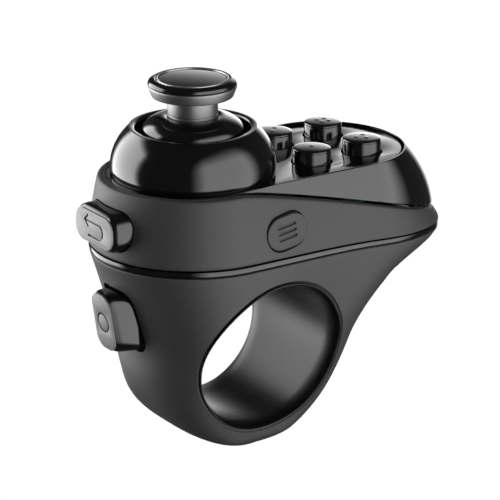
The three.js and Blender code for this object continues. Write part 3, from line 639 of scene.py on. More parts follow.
class BodyForm:
    """The outlines of the shells at each height."""

    BOTTOM_ROUND = 2.05  # height over which the ring rounds in at its bottom
    FALL_POWER = 1.7  # the parting line stays level, then drops near the tail
    TRIM_FALL = 1.14  # fall of the trim's top, as a multiple of the parting line's
    TOP_POWER = 1.15  # at 1 the shell's top edge would run straight down to the tail
    UPPER_LEAN = 1.4  # how far the upper shell leans in at its top

    def __init__(self):
        self.b = body_sizes()
        self.t = top_sizes()
        self.stick_x = middle_of("stick_collar").x

    def tail_share(self, x):
        return clamp((x - self.stick_x) / (self.b.tail_reach - self.stick_x))

    def parting_fall(self, x):
        return self.b.tail_drop * self.tail_share(x) ** self.FALL_POWER

    def trim_top(self, x):
        return self.b.parting + self.b.trim_height - self.TRIM_FALL * self.parting_fall(x)

    def shell_top(self, x):
        b = self.b
        return b.deck - (b.deck - b.parting + b.gap) * self.tail_share(x) ** self.TOP_POWER

    def ring(self, plan, height, arc=26, side=9):
        """Round front, straight side, round tail, and the mirror image back."""
        front, front_station, front_half, rear_station, rear_half, rear, nose, tail = plan
        power = 2 / nose
        near = []
        for i in range(arc + 1):
            angle = math.pi / 2 * i / arc
            along = max(0.0, math.cos(angle)) ** power
            across = math.sin(angle) ** power
            near.append((front_station - (front_station - front) * along, front_half * across))
        for i in range(1, side):
            near.append((mix(front_station, rear_station, i / side),
                         mix(front_half, rear_half, smooth(i / side))))
        power = 2 / tail
        for i in range(arc + 1):
            angle = math.pi / 2 * i / arc
            across = max(0.0, math.cos(angle)) ** power
            along = math.sin(angle) ** power
            near.append((rear_station + (rear - rear_station) * along, rear_half * across))
        near[0] = (near[0][0], 0.0)
        near[-1] = (near[-1][0], 0.0)
        left = [(x, -y, height(x)) for x, y in near]
        right = [(x, y, height(x)) for x, y in reversed(near[1:-1])]
        return left + right

    def lower_plan(self, z, inset=0.0, rear_inset=None):
        b = self.b
        rise = clamp(z / b.parting)
        ring = b.ring_half_length * math.sqrt(max(0.006, 1 - (min(z, 0) / b.ring_depth) ** 2))
        flare = clamp((z + 8) / (b.parting + 8)) ** 2.5
        under = clamp((z - b.parting + 5.5) / 5.5)
        slim = smooth((z + 12) / 9)
        front = -mix(ring, b.nose_radius - self.stick_x, rise ** 1.3)
        rear = ring + (b.tail_reach - b.ring_half_length) * flare + 10 * under ** 2 * (1 - under)
        low = self.BOTTOM_ROUND - b.ring_depth
        widen = math.sin(math.pi / 2 * clamp((z - low) / (b.parting - low)))
        tuck = 1 - 0.28 * clamp((low - z) / self.BOTTOM_ROUND) ** 1.6
        return (
            front + inset,
            mix(-0.35 * ring, self.stick_x, rise),
            mix(b.ring_bottom_half, b.nose_radius, widen) * tuck - inset,
            mix(0.35 * ring, b.tail_station, rise),
            mix(b.ring_bottom_half - 0.2, b.tail_half, widen) * tuck - inset,
            rear - (inset if rear_inset is None else rear_inset),
            mix(3.3, 2.15, slim) - 0.15 * rise,
            3 - rise,
        )

    def lower_ring(self, z, inset=0.0, rear_inset=None, lift=0.0, **fineness):
        fall = clamp(z / self.b.parting)
        return self.ring(self.lower_plan(z, inset, rear_inset),
                         lambda x: z + lift - fall * self.parting_fall(x), **fineness)

    def side_at(self, x, z):
        """Half width of the lower body at a point of its side."""
        level = z
        for _ in range(4):
            level = z + clamp(level / self.b.parting) * self.parting_fall(x)
        (front, front_station, front_half, rear_station, rear_half, rear, nose,
         tail) = self.lower_plan(level)
        if x < front_station:
            out = clamp((front_station - x) / (front_station - front))
            return front_half * (1 - out ** nose) ** (1 / nose)
        if x > rear_station:
            out = clamp((x - rear_station) / (rear - rear_station))
            return rear_half * (1 - out ** tail) ** (1 / tail)
        along = (x - front_station) / (rear_station - front_station)
        return mix(front_half, rear_half, smooth(along))

    def upper_plan(self, t, inset=0.0):
        b = self.b
        lean = t ** 1.5
        return (
            self.stick_x - b.nose_radius + self.UPPER_LEAN * lean + inset,
            self.stick_x,
            b.nose_radius - self.UPPER_LEAN * lean - inset,
            b.tail_station,
            b.tail_half - 0.6 * lean - inset,
            b.tail_reach - 1.1 * lean - inset,
            2,
            2,
        )

    def cover_plan(self, t, inset=0.0):
        b, p = self.b, self.t
        lean = t ** 1.6
        half = p.plate_half + b.gap + p.rim_width
        return (
            self.stick_x - p.collar_radius - 0.4 + inset,
            self.stick_x,
            p.collar_radius + 0.4 - inset,
            mix(b.tail_station, p.plate_station + 0.4, lean),
            mix(p.collar_radius + 0.35, half, lean) - inset,
            mix(b.tail_reach - 0.9, p.plate_tip + b.gap + p.rim_width, lean) - inset,
            2,
            2,
        )


# ---- Shells ----------------------------------------------------------------


def finger_tool(form):
    """What the finger bore removes: a tube whose mouths round over into the sides."""
    radius, round_over = form.b.rim_radius + 0.06, 0.32
    rings = []
    for side in (-1, 1):
        steps = [(0.0, 0.0)] if side < 0 else []
        steps += [(0, round_over), (0.35, 0.9 * round_over), (0.62, 0.7 * round_over),
                  (0.86, 0.38 * round_over), (1.25, -0.6 * round_over)]
        mouth = []
        for out, back in steps:
            ring = []
            for i in range(AROUND):
                angle = 2 * math.pi * i / AROUND
                wide = radius + out * round_over
                x, z = wide * math.cos(angle), wide * math.sin(angle)
                y = side * (form.side_at(x, z) - back)
                ring.append((x, 0.0 if (out, back) == (0.0, 0.0) else y, z))
            mouth.append(ring)
        mouth.append([(x, side * 20.0, z) for x, y, z in mouth[-1]])
        rings = rings + mouth if side > 0 else mouth[::-1]
    return lofted(rings)


def opening(outline, direction, origin, low, high):
    """What an opening of this outline removes, from one height to another."""
    return plate([outline], facing(direction, origin), low, high)


def lower_shell(form):
    """The ring and the body below the parting line."""
    b = form.b
    seam = b.parting - b.gap / 2
    turns = [-math.pi / 2 * (1 - 0.049 - 0.93 * (i / 22) ** 1.25) for i in range(22)]
    heights = [b.ring_depth * math.sin(a) for a in turns]
    heights += [mix(0, seam - 0.3, i / 14) for i in range(15)]
    rings = [form.lower_ring(z) for z in heights]
    rings += [form.lower_ring(seam - 0.12, 0.03), form.lower_ring(seam - 0.03, 0.1)]
    rings.append(form.lower_ring(seam, 0.2))
    outside = lofted(rings)
    inner = [form.lower_ring(share * b.parting, b.wall, b.wall + 0.7, arc=9, side=4)
             for share in (0.2, 0.45, 0.7, 0.98)]
    inner.append(form.lower_ring(b.parting, b.wall, b.wall + 0.7, lift=2, arc=9, side=4))
    arch = solid_of_turning([(0, -20), (b.arch_radius, -20), (b.arch_radius, 20), (0, 20)],
                            (0, 0, 0), "y", 72)
    hollow = carved(lofted(inner), arch)
    mouth = rounded_box(7.8, 9.6, 1.9, (0, TRIGGER_MIDDLE))
    tools = [finger_tool(form), opening(mouth, "-x", (0, 0, 0), b.arch_radius, 30)]
    for side in ("1", "2"):
        at = middle_of("housing_screw_" + side)
        head = corners_of("housing_screw_" + side)[0].z + 0.8
        tools.append(opening(circle(1.4, (at.x, at.y), 32), "z", (0, 0, 0), -6, head))
    return carved(outside, hollow, *tools)


def ring_liner(form):
    """The smooth sleeve in the bore, with flared mouths."""
    b = form.b
    outer = b.rim_radius + 0.02
    flare = b.rim_radius - b.bore_radius
    profile = [(outer, -0.05), (b.rim_radius - 0.05, 0.06), (b.rim_radius - 0.2, 0.08)]
    profile += [(b.rim_radius - flare * math.sin(math.radians(a)) - 0.08,
                 -0.15 - 2.6 * (1 - math.cos(math.radians(a)))) for a in (15, 30, 45, 60, 75, 90)]
    profile.append((b.bore_radius, -3.6))
    rings = []
    for side in (1, -1):
        steps = profile if side > 0 else profile[::-1]
        for radius, out in steps:
            ring = []
            for i in range(AROUND):
                angle = 2 * math.pi * i / AROUND
                x, z = radius * math.cos(angle), radius * math.sin(angle)
                edge = form.side_at(b.rim_radius * math.cos(angle), b.rim_radius * math.sin(angle))
                ring.append((x, side * (edge + out), z))
            rings.append(ring)
    return lofted(rings, closed=True)


def trim_band(form):
    """The thin polished band between the shells."""
    b = form.b
    rings = []
    for up, inset in ((0, 0.25), (0.02, 0.1), (0.08, 0.02), (0.3, 0.0), (0.5, -0.02), (0.7, 0.0),
                      (0.92, 0.02), (0.98, 0.1), (1, 0.25), (1, 1.5), (0, 1.5)):
        def height(x, up=up):
            low = b.parting - form.parting_fall(x) + 0.08
            return mix(low, form.trim_top(x) - 0.08, up)
        rings.append(form.ring(form.upper_plan(0, inset + 0.03), height))
    return lofted(rings, closed=True)


def upper_shell(form):
    """The body above the parting line, with the openings for its buttons."""
    b = form.b
    wall = b.wall + 0.1

    def level(t, inset=0.0, drop=0.0):
        return form.ring(form.upper_plan(clamp(t), inset),
                         lambda x: mix(form.trim_top(x) + 0.1, form.shell_top(x), t) - drop)

    rings = [level(0, 0.22), level(0.006, 0.08), level(0.018, 0.0)]
    rings += [level(t, 0.0) for t in (0.06, 0.12, 0.2, 0.3, 0.4, 0.5, 0.6, 0.7, 0.8, 0.87)]
    rings += [level(0.93), level(0.965, 0.02), level(0.985, 0.08)]
    rings += [level(0.997, 0.2), level(1, 0.32)]
    rings += [level(1, 0.62), level(1, 0.66, 0.12), level(1, 0.74, 0.12), level(1, 0.78)]
    rings += [level(1, 1.02), level(1, 1.06, 0.16), level(1, 1.16, 0.16), level(1, 1.2, 0.06)]
    rings += [level(1, 1.4, 0.06), level(1, wall - 0.08, 0.3), level(1, wall, 0.5)]
    rings += [level(t, wall) for t in (0.85, 0.6, 0.3, 0)]
    shell = lofted(rings, closed=True)
    back, menu, knob, port = (middle_of(name) for name in (
        "back_button", "menu_button", "mode_switch_knob", "usb_port"))
    tools = [
        opening(rounded_box(11.2, 5.9, 2.6, (0, back.z)), "-x", (0, 0, 0), 14, 30),
        opening(spun(rounded_box(7.1, 5.3, 2.6), (menu.x, menu.z)), "-y", (0, 0, 0), 8, 30),
        opening(rounded_box(8.6, 3.2, 1.2, (-port.x, port.z)), "y", (0, 0, 0), 8, 30),
        opening(rounded_box(4.4, 1.6, 0.5, (-knob.x - 1, knob.z)), "y", (0, 0, 0), 8, 30),
    ]
    return carved(shell, *tools)


class CONTROLLER_OT_shells(bpy.types.Operator):
    """Builds the two shells, the trim between them and the liner of the finger ring."""

    bl_idname = "controller.shells"
    bl_label = "Shells"

    def execute(self, context):
        form = BodyForm()
        add_piece("shell_lower", lower_shell(form), "root", "soft_black", ["lower_shell"])
        add_piece("shell_upper", upper_shell(form), "root", "soft_black", ["upper_shell"])
        add_piece("trim", trim_band(form), "root", "gloss_black", ["trim_band"])
        add_piece("liner", ring_liner(form), "root", "gloss_black", ["ring_liner"], finish="sleeve")
        return {"FINISHED"}


# ---- Deck ------------------------------------------------------------------


def deck_cover(form):
    """The polished wedge from the shell up to the rim around the plate."""
    b, p = form.b, form.t

    def low(x):
        return min(form.shell_top(x) + 0.32, b.deck - 0.1)

    def high(x):
        return b.deck + p.rim_height * smooth((x - form.stick_x + 6) / 14)

    def level(t, inset=0.0, drop=0.0):
        return form.ring(form.cover_plan(t, inset), lambda x: mix(low(x), high(x), t) - drop)

    rings = [level(0, 0.25, -0.02), level(0.0, 0.06, -0.1)]
    rings += [level(t) for t in (0.03, 0.12, 0.24, 0.36, 0.48, 0.6, 0.7, 0.8, 0.88, 0.94)]
    rings += [level(0.985, 0.03), level(1, 0.12), level(1, p.rim_width - 0.06)]
    rings += [level(1, p.rim_width, 0.06), level(1, p.rim_width, 0.5)]
    rings += [level(1, p.rim_width + 0.05, 2.2), level(0.5, 1.6), level(0, 1.5, -0.02)]
    return lofted(rings, closed=True)


def deck_plate(form):
    """The polished plate that carries the buttons."""
    b, p = form.b, form.t
    x0, half = form.stick_x + 3, p.plate_half
    outline = [(x0, -half)]
    outline += [(mix(x0, p.plate_station, i / 6), -half) for i in range(1, 6)]
    for i in range(61):
        angle = math.pi * (i / 60 - 0.5)
        reach = p.plate_tip - p.plate_station
        outline.append((p.plate_station + reach * math.cos(angle), half * math.sin(angle)))
    outline += [(mix(p.plate_station, x0, i / 6), half) for i in range(1, 6)]
    outline.append((x0, half))
    holes = []
    for number in "1234":
        at = middle_of("face_button_" + number)
        holes.append(circle(p.button_radius + 0.22, (at.x, at.y)))
    body = plate([outline, *holes], facing("z", (0, 0, 0)), b.deck - 1.24, b.deck, 0.08)
    r = p.collar_radius - 0.12
    dome = solid_of_turning([(0, -3), (r, -3), (r, 3), (0, 3)], (form.stick_x, 0, b.deck))
    return carved(body, dome)


class CONTROLLER_OT_deck(bpy.types.Operator):
    """Builds the polished cover and the plate under the buttons."""

    bl_idname = "controller.deck"
    bl_label = "Deck"

    def execute(self, context):
        form = BodyForm()
        add_piece("deck_cover", deck_cover(form), "root", "gloss_black", ["top_cover"])
        add_piece("deck_plate", deck_plate(form), "root", "gloss_black", ["button_plate"])
        return {"FINISHED"}


# ---- Stick -----------------------------------------------------------------


def ellipse(radius, rise, centre_z, from_z, to_z, steps):
    """Points up the outside of an ellipse, closer together near its top."""
    low = math.asin(clamp((from_z - centre_z) / rise, -1, 1))
    high = math.asin(clamp((to_z - centre_z) / rise, -1, 1))
    angles = [mix(low, high, i / steps) for i in range(steps + 1)]
    return [(radius * math.cos(a), centre_z + rise * math.sin(a)) for a in angles]


class StickForm:
    """Profiles of the stick's pieces: radius from its axis, and height."""

    BALL_RISE = 3.2
    BALL_POWER = 0.77  # below 1, flatter on top and steeper at its foot than an ellipse

    def __init__(self):
        self.t = top_sizes()
        self.centre = (middle_of("stick_collar").x, 0, 0)
        self.collar_low, self.collar_high = (corner.z for corner in corners_of("stick_collar"))
        self.ball_z = corners_of("stick_ball")[0].z + 0.8
        self.cap_z = corners_of("stick_cap")[0].z
        self.stem_low, self.stem_high = (corner.z for corner in corners_of("stick_stem"))

    def collar(self):
        t, top = self.t, self.collar_high
        outer = ellipse(t.collar_radius, 8.8, top - 5.78, top - 5.78, top - 0.1, 22)
        lip = [(9.0, top - 0.01), (8.88, top), (8.42, top - 0.02), (8.25, top - 0.12),
               (8.12, top - 0.34), (8.16, top - 0.7), (8.5, top - 1.3), (9.3, top - 2.3),
               (10.2, top - 3.8), (10.7, top - 5.2), (10.9, self.collar_low)]
        foot = [(t.collar_radius - 0.2, self.collar_low),
                (t.collar_radius - 0.2, self.collar_low + 1.8),
                (t.collar_radius - 0.03, self.collar_low + 2.1)]
        return turned(outer + lip + foot, self.centre)

    def ball(self):
        t, z = self.t, self.ball_z
        turns = [math.radians(a) for a in range(0, 78, 4)]
        outer = [(t.ball_radius * math.cos(a) ** self.BALL_POWER,
                  z + self.BALL_RISE * math.sin(a) ** self.BALL_POWER) for a in turns]
        outer = [point for point in outer if point[0] > t.stem_radius + 0.45]
        inside = [(t.stem_radius + 0.3, z + 2.85), (t.stem_radius + 0.1, z + 2.72), (1.7, z + 2.7),
                  (1.7, z + 2.3), (3.6, z + 1.9), (5.6, z + 1.1),
                  (t.ball_radius - 0.95, z), (t.ball_radius - 0.95, z - 0.7),
                  (t.ball_radius - 0.85, z - 0.8), (t.ball_radius - 0.25, z - 0.8),
                  (t.ball_radius - 0.05, z - 0.55)]
        return turned(outer + inside, self.centre)

    def stem(self):
        r, low, high = self.t.stem_radius, self.ball_z + 2.66, self.stem_high
        profile = [(1.6, low, 0), (r - 0.02, low, 0.1), (r - 0.02, low + 0.35, 0.05),
                   (r - 0.12, low + 0.42, 0.03), (r - 0.12, low + 0.52, 0.03), (r, low + 0.6, 0.05),
                   (r, high - 0.4, 0), (1.6, high - 0.4, 0)]
        return turned(rounded(profile, 3), self.centre)

    def cap_base(self):
        r, z = self.t.cap_radius, self.cap_z
        profile = [(1.6, z - 0.6, 0), (r - 1.2, z - 0.6, 0.08), (r - 0.62, z - 0.56, 0.18),
                   (r - 0.04, z + 0.98, 0.25), (r - 0.5, z + 1.08, 0), (1.6, z + 1.08, 0)]
        return turned(rounded(profile, 5), self.centre)

    def cap(self):
        r, z = self.t.cap_radius, self.cap_z
        profile = [(1.6, z + 1.1, 0), (r - 0.3, z + 1.1, 0.03), (r - 0.01, z + 1.14, 0.14),
                   (r - 0.24, z + 1.66, 0.4), (r - 1.0, z + 2.0, 0.3), (r - 1.18, z + 1.86, 0.06),
                   (r - 1.22, z + 1.4, 0), (1.6, z + 1.4, 0)]
        return turned(rounded(profile, 6), self.centre)

    def cap_ring(self):
        r, z = self.t.cap_radius - 1.26, self.cap_z
        profile = [(r - 0.26, z + 1.6, 0), (r, z + 1.6, 0), (r, z + 2.0, 0.1),
                   (r - 0.26, z + 1.98, 0.08)]
        return turned(rounded(profile, 4), self.centre)

    def cap_disc(self):
        r, z = self.t.cap_radius - 1.6, self.cap_z
        profile = [(0, z + 1.5), (r, z + 1.5), (r, z + 1.8), (r - 0.05, z + 1.86)]
        steps = [(r - 0.05) * (1 - i / 12) for i in range(1, 13)]
        profile += [(radius, z + 1.86 + 0.22 * (1 - (radius / r) ** 2)) for radius in steps]
        return solid_of_turning(profile, self.centre)


class CONTROLLER_OT_stick(bpy.types.Operator):
    """Builds the dome, the ball, the stem and the cap of the stick."""

    bl_idname = "controller.stick"
    bl_label = "Stick"

    def execute(self, context):
        form = StickForm()
        add_piece("dome", form.collar(), "root", "gloss_black", ["stick_collar"])
        add_piece("stick_dome", form.ball(), "stick", "gloss_black", ["stick_ball"])
        add_piece("stick_neck", form.stem(), "stick", "gunmetal", ["stick_stem"])
        add_piece("cap_edge", form.cap_base(), "stick", "gunmetal", ["stick_cap"])
        add_piece("cap_shoulder", form.cap(), "stick", "gloss_black", ["stick_cap"])
        add_piece("cap_bezel", form.cap_ring(), "stick", "bright_metal", ["stick_cap_ring"])
        add_piece("cap_disc", form.cap_disc(), "stick", "gloss_black", ["stick_cap_insert"])
        return {"FINISHED"}


# ---- Buttons ---------------------------------------------------------------

PIP_SPREAD = 0.85  # from the middle of a round button to its marks
BUTTON_DOME = 0.18  # rise of a round button's top
BACK_FACE = (9.86, 4.62, 1.95)  # width, height and corner radius
TRIGGER_FACE = (4.86, 8.42, 1.85)
TRIGGER_LEAN = 1.1 / 7.4  # how far the trigger's face leans back, per millimetre down
TRIGGER_MIDDLE = 6.0  # height of the middle of its face
TRIGGER_TOP = 4.25  # height above that middle from which the face leans
TRIGGER_INSET = 0.6  # how far the face stands behind the foremost point of its node


def pip_places(count):
    """Small raised marks, one to four, spread evenly."""
    if count == 1:
        return [(0, 0)]
    turns = [2 * math.pi * i / count + math.pi / 4 for i in range(count)]
    return [(PIP_SPREAD * math.cos(t), PIP_SPREAD * math.sin(t)) for t in turns]


def deck_button(number):
    """A round button with a flange, a gently domed top and raised marks."""
    r = top_sizes().button_radius
    low, high = corners_of(f"face_button_{number}")
    at = middle_of(f"face_button_{number}")
    top = high.z - 0.26
    profile = [(0, low.z), (r + 0.65, low.z), (r + 0.65, low.z + 0.75), (r, low.z + 0.8),
               (r, top - 0.42), (r - 0.03, top - 0.38), (r - 0.03, top - 0.3),
               (r, top - 0.26), (r - 0.02, top - 0.14), (r - 0.09, top - 0.05), (r - 0.2, top)]
    dome = [(r - 0.2) * (1 - i / 8) for i in range(1, 9)]
    profile += [(radius, top + BUTTON_DOME * (1 - (radius / r) ** 2)) for radius in dome]
    button = solid_of_turning(profile, (at.x, at.y, 0), sides=64)
    marks = []
    for u, v in pip_places(number):
        mark = [(0, -0.3), (0.34, -0.3), (0.34, 0.03), (0.3, 0.06), (0.2, 0.075), (0, 0.08)]
        lift = top + BUTTON_DOME * (1 - (u * u + v * v) / (r * r))
        marks.append(solid_of_turning(mark, (at.x + u, at.y + v, lift), sides=24))
    return joined(button, *marks)


class CONTROLLER_OT_deck_buttons(bpy.types.Operator):
    """Builds the four round buttons on the deck."""

    bl_idname = "controller.deck_buttons"
    bl_label = "Deck buttons"

    def execute(self, context):
        for number in (1, 2, 3, 4):
            add_piece(f"deck_button_{number}", deck_button(number), f"key_{number}",
                      "gloss_black", [f"face_button_{number}"])
        return {"FINISHED"}


def return_arrow():
    """A plain bent arrow that points back, as one outline."""
    path = [(-1.6, 2.01), (-1.39, 1.8), (-2.04, 1.15), (1.3, 1.15)]
    turn = [math.radians(90 - 180 * i / 14) for i in range(1, 14)]
    path += [(1.3 + 1.2 * math.cos(a), -0.05 + 1.2 * math.sin(a)) for a in turn]
    path += [(1.3, -1.25), (-1.6, -1.25), (-1.6, -0.95), (1.3, -0.95)]
    path += [(1.3 + 0.9 * math.cos(a), -0.05 + 0.9 * math.sin(a)) for a in reversed(turn)]
    return path + [(1.3, 0.85), (-2.04, 0.85), (-1.39, 0.2), (-1.6, -0.01), (-2.61, 1.0)]


def flared(stations, place):
    """A body through rounded outlines; place turns (u, v, out) into a point."""
    rings = []
    for width, height, radius, out in stations:
        outline = rounded_box(width, height, radius, steps=8)
        rings.append([place(u, v, out) for u, v in outline])
    return lofted(rings)


def back_button_body():
    """The dark body of the button under the nose, with bevelled edges."""
    low, high = corners_of("back_button")
    z = middle_of("back_button").z
    face = -low.x
    stations = [(2.4, 2.0, 0.4, -high.x), (2.4, 2.0, 0.4, face - 5.4), (11.6, 6.1, 1.2, face - 5.6),
                (11.6, 6.1, 1.2, face - 5.1), (10.9, 5.62, 2.5, face - 5.0),
                (10.9, 5.62, 2.5, face - 1.5), (10.75, 5.5, 2.4, face - 0.95),
                (10.6, 5.4, 2.3, face - 0.7), (9.9, 4.66, 2.0, face - 0.26),
                (9.7, 4.46, 1.9, face - 0.24)]
    return flared(stations, lambda u, v, out: (-out, -u, z + v))


def back_button_face():
    """The face of the button under the nose, with its engraved arrow; its grey is painted
    reflection.
    """
    z = middle_of("back_button").z
    face = -corners_of("back_button")[0].x
    outline = rounded_box(*BACK_FACE)
    placing = facing("-x", (0, 0, z))
    top = plate([outline, [(u, v - 0.2) for u, v in return_arrow()]], placing,
                face - ICON_DEPTH, face, 0.05, 2)
    floor = plate([rounded_box(9.6, 4.4, 1.8)], placing, face - 0.5, face - ICON_DEPTH)
    return joined(top, floor)


def trigger_body():
    """The dark leaning body of the lower front button, wider towards the shell."""
    low, high = corners_of("home_trigger")
    back, reach = -high.x, high.x - low.x - TRIGGER_INSET

    def place(u, v, out):
        lean = smooth((out - 2.3) / (reach - 2.6)) * TRIGGER_LEAN * (v - TRIGGER_TOP)
        spread = 1 + 0.009 * clamp(3.5 - v, 0, 8) * clamp((reach - out) / 3.2)
        return (-(back + out + lean), -u * spread, TRIGGER_MIDDLE + v)

    stations = [(6.4, 8.6, 1.3, 0), (6.4, 8.6, 1.3, 2.3), (6.7, 8.7, 1.6, 2.6),
                (6.8, 8.8, 1.9, 3.0), (6.2, 9.0, 2.2, reach - 2.2), (5.6, 9.0, 2.2, reach - 1.1),
                (5.45, 8.95, 2.1, reach - 0.9), (4.9, 8.45, 1.9, reach - 0.27),
                (4.75, 8.3, 1.8, reach - 0.25)]
    return flared(stations, place)


def trigger_face():
    """The face of the lower front button, with its engraved circle; its grey is painted reflection.
    """
    low = corners_of("home_trigger")[0]
    up = Vector((-TRIGGER_LEAN, 0, 1)).normalized()
    out = Vector((-1, 0, -TRIGGER_LEAN)).normalized()
    origin = Vector((low.x + 0.25 + TRIGGER_INSET + TRIGGER_LEAN * TRIGGER_TOP, 0, TRIGGER_MIDDLE))
    placing = facing(((0, -1, 0), tuple(up), tuple(out)), origin)
    outline = rounded_box(*TRIGGER_FACE)
    icon = [circle(1.5, (0, -0.1)), circle(1.24, (0, -0.1))]
    top = plate([outline, *icon], placing, 0.0, 0.24, 0.05, 2)
    floor = plate([rounded_box(4.5, 8.0, 1.7)], placing, -0.3, 0.0)
    return joined(top, floor)


class CONTROLLER_OT_front_buttons(bpy.types.Operator):
    """Builds the two buttons under the nose, with their engraved marks."""

    bl_idname = "controller.front_buttons"
    bl_label = "Front buttons"

    def execute(self, context):
        add_piece("back_key", back_button_body(), "back_key", "gloss_black", ["back_button"])
        # The grey of the two faces is painted reflection.
        add_piece("back_key_face", back_button_face(), "back_key", "satin_grey", ["back_button"])
        add_piece("home_key", trigger_body(), "trigger", "gloss_black", ["home_trigger"])
        add_piece("home_key_face", trigger_face(), "trigger", "satin_grey", ["home_trigger"])
        return {"FINISHED"}


def spun(outline, centre=(0, 0)):
    """A drawing turned by the lean of the menu button."""
    turn = Matrix.Rotation(math.radians(MENU_LEAN), 2)
    return [tuple(turn @ Vector(point) + Vector(centre)) for point in outline]


def menu_pad():
    """The pill-shaped button on the side, with three engraved bars."""
    low, high = corners_of("menu_button")
    at = middle_of("menu_button")
    face = -low.y
    placing = facing("-y", (at.x, 0, at.z))
    bars = [spun(rounded_box(2.9, 0.3, 0.149, (0, v))) for v in (-0.9, 0.0, 0.9)]
    outline = spun(rounded_box(6.7, 4.9, 2.4))
    top = plate([outline, *bars], placing, face - 0.4, face, 0.18, 4)
    core = plate([outline], placing, 10.9, face - 0.3)
    flange = plate([rounded_box(7.9, 5.9, 1.5)], placing, 10.4, 11.2)
    stem = plate([rounded_box(2.4, 2.0, 0.4)], placing, -high.y, 10.7)
    return joined(top, core, flange, stem)


class CONTROLLER_OT_menu_button(bpy.types.Operator):
    """Builds the menu button on the side."""

    bl_idname = "controller.menu_button"
    bl_label = "Menu button"

    def execute(self, context):
        add_piece("menu_pad", menu_pad(), "menu_key", "soft_black", ["menu_button"])
        return {"FINISHED"}


# ---- Port, slide switch and screws -----------------------------------------


def charging_port():
    """The metal mouth of the charging port."""
    low, high = corners_of("usb_port")
    at = middle_of("usb_port")
    width, height = high.x - low.x, high.z - low.z
    placing = facing("y", (at.x, 0, at.z))
    sleeve = plate([rounded_box(width, height, 0.9), rounded_box(width - 0.7, height - 0.7, 0.6)],
                   placing, low.y, high.y, 0.08, 2)
    back = plate([rounded_box(width - 0.6, height - 0.6, 0.5)], placing, low.y, low.y + 0.8)
    return joined(sleeve, back)


def port_tongue():
    """The dark tongue inside the charging port."""
    low, high = corners_of("usb_port")
    at = middle_of("usb_port")
    placing = facing("y", (at.x, 0, at.z))
    outline = rounded_box(5.2, 0.5, 0.1, (0, 0.15))
    return plate([outline], placing, low.y + 0.4, high.y - 0.6, 0.08, 2)


def slide_knob():
    """The ribbed knob of the slide switch."""
    low, high = corners_of("mode_switch_knob")
    at = middle_of("mode_switch_knob")
    placing = facing("y", (at.x, 0, at.z))
    core = plate([rounded_box(1.6, 1.0, 0.2)], placing, low.y, high.y - 0.14, 0.05, 2)
    ribs = [plate([rounded_box(0.26, 0.9, 0.1, (u, 0))], placing, high.y - 0.3, high.y, 0.05, 2)
            for u in (-0.6, -0.2, 0.2, 0.6)]
    return joined(core, *ribs)


def housing_screw(number):
    """A pan-head screw with a cross recess, seen from below in its well."""
    low, high = corners_of(f"housing_screw_{number}")
    at = middle_of(f"housing_screw_{number}")
    profile = [(0, low.z + 0.05), (0.6, low.z), (0.95, low.z + 0.12), (1.1, low.z + 0.35),
               (1.1, low.z + 0.75), (0.5, low.z + 0.8), (0.5, high.z - 0.4), (0, high.z)]
    body = solid_of_turning(profile, (at.x, at.y, 0), sides=36)
    placing = facing("z", (at.x, at.y, 0))
    slots = [plate([rounded_box(w, h, 0.05)], placing, low.z - 0.5, low.z + 0.4)
             for w, h in ((1.3, 0.26), (0.26, 1.3))]
    return carved(body, *slots)


class CONTROLLER_OT_fittings(bpy.types.Operator):
    """Builds the charging port, the slide switch and the screws of the housing."""

    bl_idname = "controller.fittings"
    bl_label = "Fittings"

    def execute(self, context):
        add_piece("port_sleeve", charging_port(), "root", "steel", ["usb_port"])
        add_piece("port_tongue", port_tongue(), "root", "chip_black", ["usb_port"])
        add_piece("slide_knob", slide_knob(), "mode_knob", "chip_black", ["mode_switch_knob"])
        for number in (1, 2):
            add_piece(f"shell_screw_{number}", housing_screw(number), "root", "steel",
                      [f"housing_screw_{number}"])
        return {"FINISHED"}


# ---- Works inside ----------------------------------------------------------

KEPT_FINISHES = {
    "steel": ["stick_shaft", "gimbal_ring", "centring_washer", "centring_spring", "trigger_pin",
              "trigger_spring", "board_screw_1", "board_screw_2", "key_board_screw_1",
              "key_board_screw_2"],
    "foil_silver": ["stick_magnet", "radio_module", "battery", "mode_switch_body"],
    "chip_black": ["stick_case", "stick_sensor", "face_switch_1", "face_switch_2", "face_switch_3",
                   "face_switch_4", "back_switch", "menu_switch", "trigger_switch", "front_header"],
    "board_green": ["menu_board", "front_board", "main_board", "key_board"],
    "amber_film": ["flex_ribbon"],
}


class CONTROLLER_OT_works(bpy.types.Operator):
    """Gives the boards, switches and springs inside their finishes."""

    bl_idname = "controller.works"
    bl_label = "Works inside"

    def execute(self, context):
        for slot, names in KEPT_FINISHES.items():
            for name in names:
                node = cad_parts[name]
                node.data.materials.clear()
                node.data.materials.append(finish_of(slot))
        return {"FINISHED"}


# ---- Stage -----------------------------------------------------------------

TARGET = (3.77, 0, 11.94)
CAMERA_PLACE = (-210.3, -324.9, 147.4)
FLOOR_REACH = 3000
SURROUND_SEEN, SURROUND_LIT = 1.1, 0.06  # the surround to the eye, and as a light


def aimed(place, target):
    """The placing of something at a place that looks at a target, both in millimetres."""
    direction = Vector(target) - Vector(place)
    turn = direction.to_track_quat("-Z", "Y").to_matrix().to_4x4()
    return Matrix.Translation(Vector(place) * MM) @ turn


def lamp(name, bearing, distance, width, low, high, glow, fade=0.5):
    """A soft upright lamp that stands around the object; the bearing is seen from above."""
    angle = math.radians(bearing)
    place = (distance * math.cos(angle), distance * math.sin(angle), (low + high) / 2)
    soft_light(name, place, (width, high - low), glow, (0, 0, place[2]), fade)


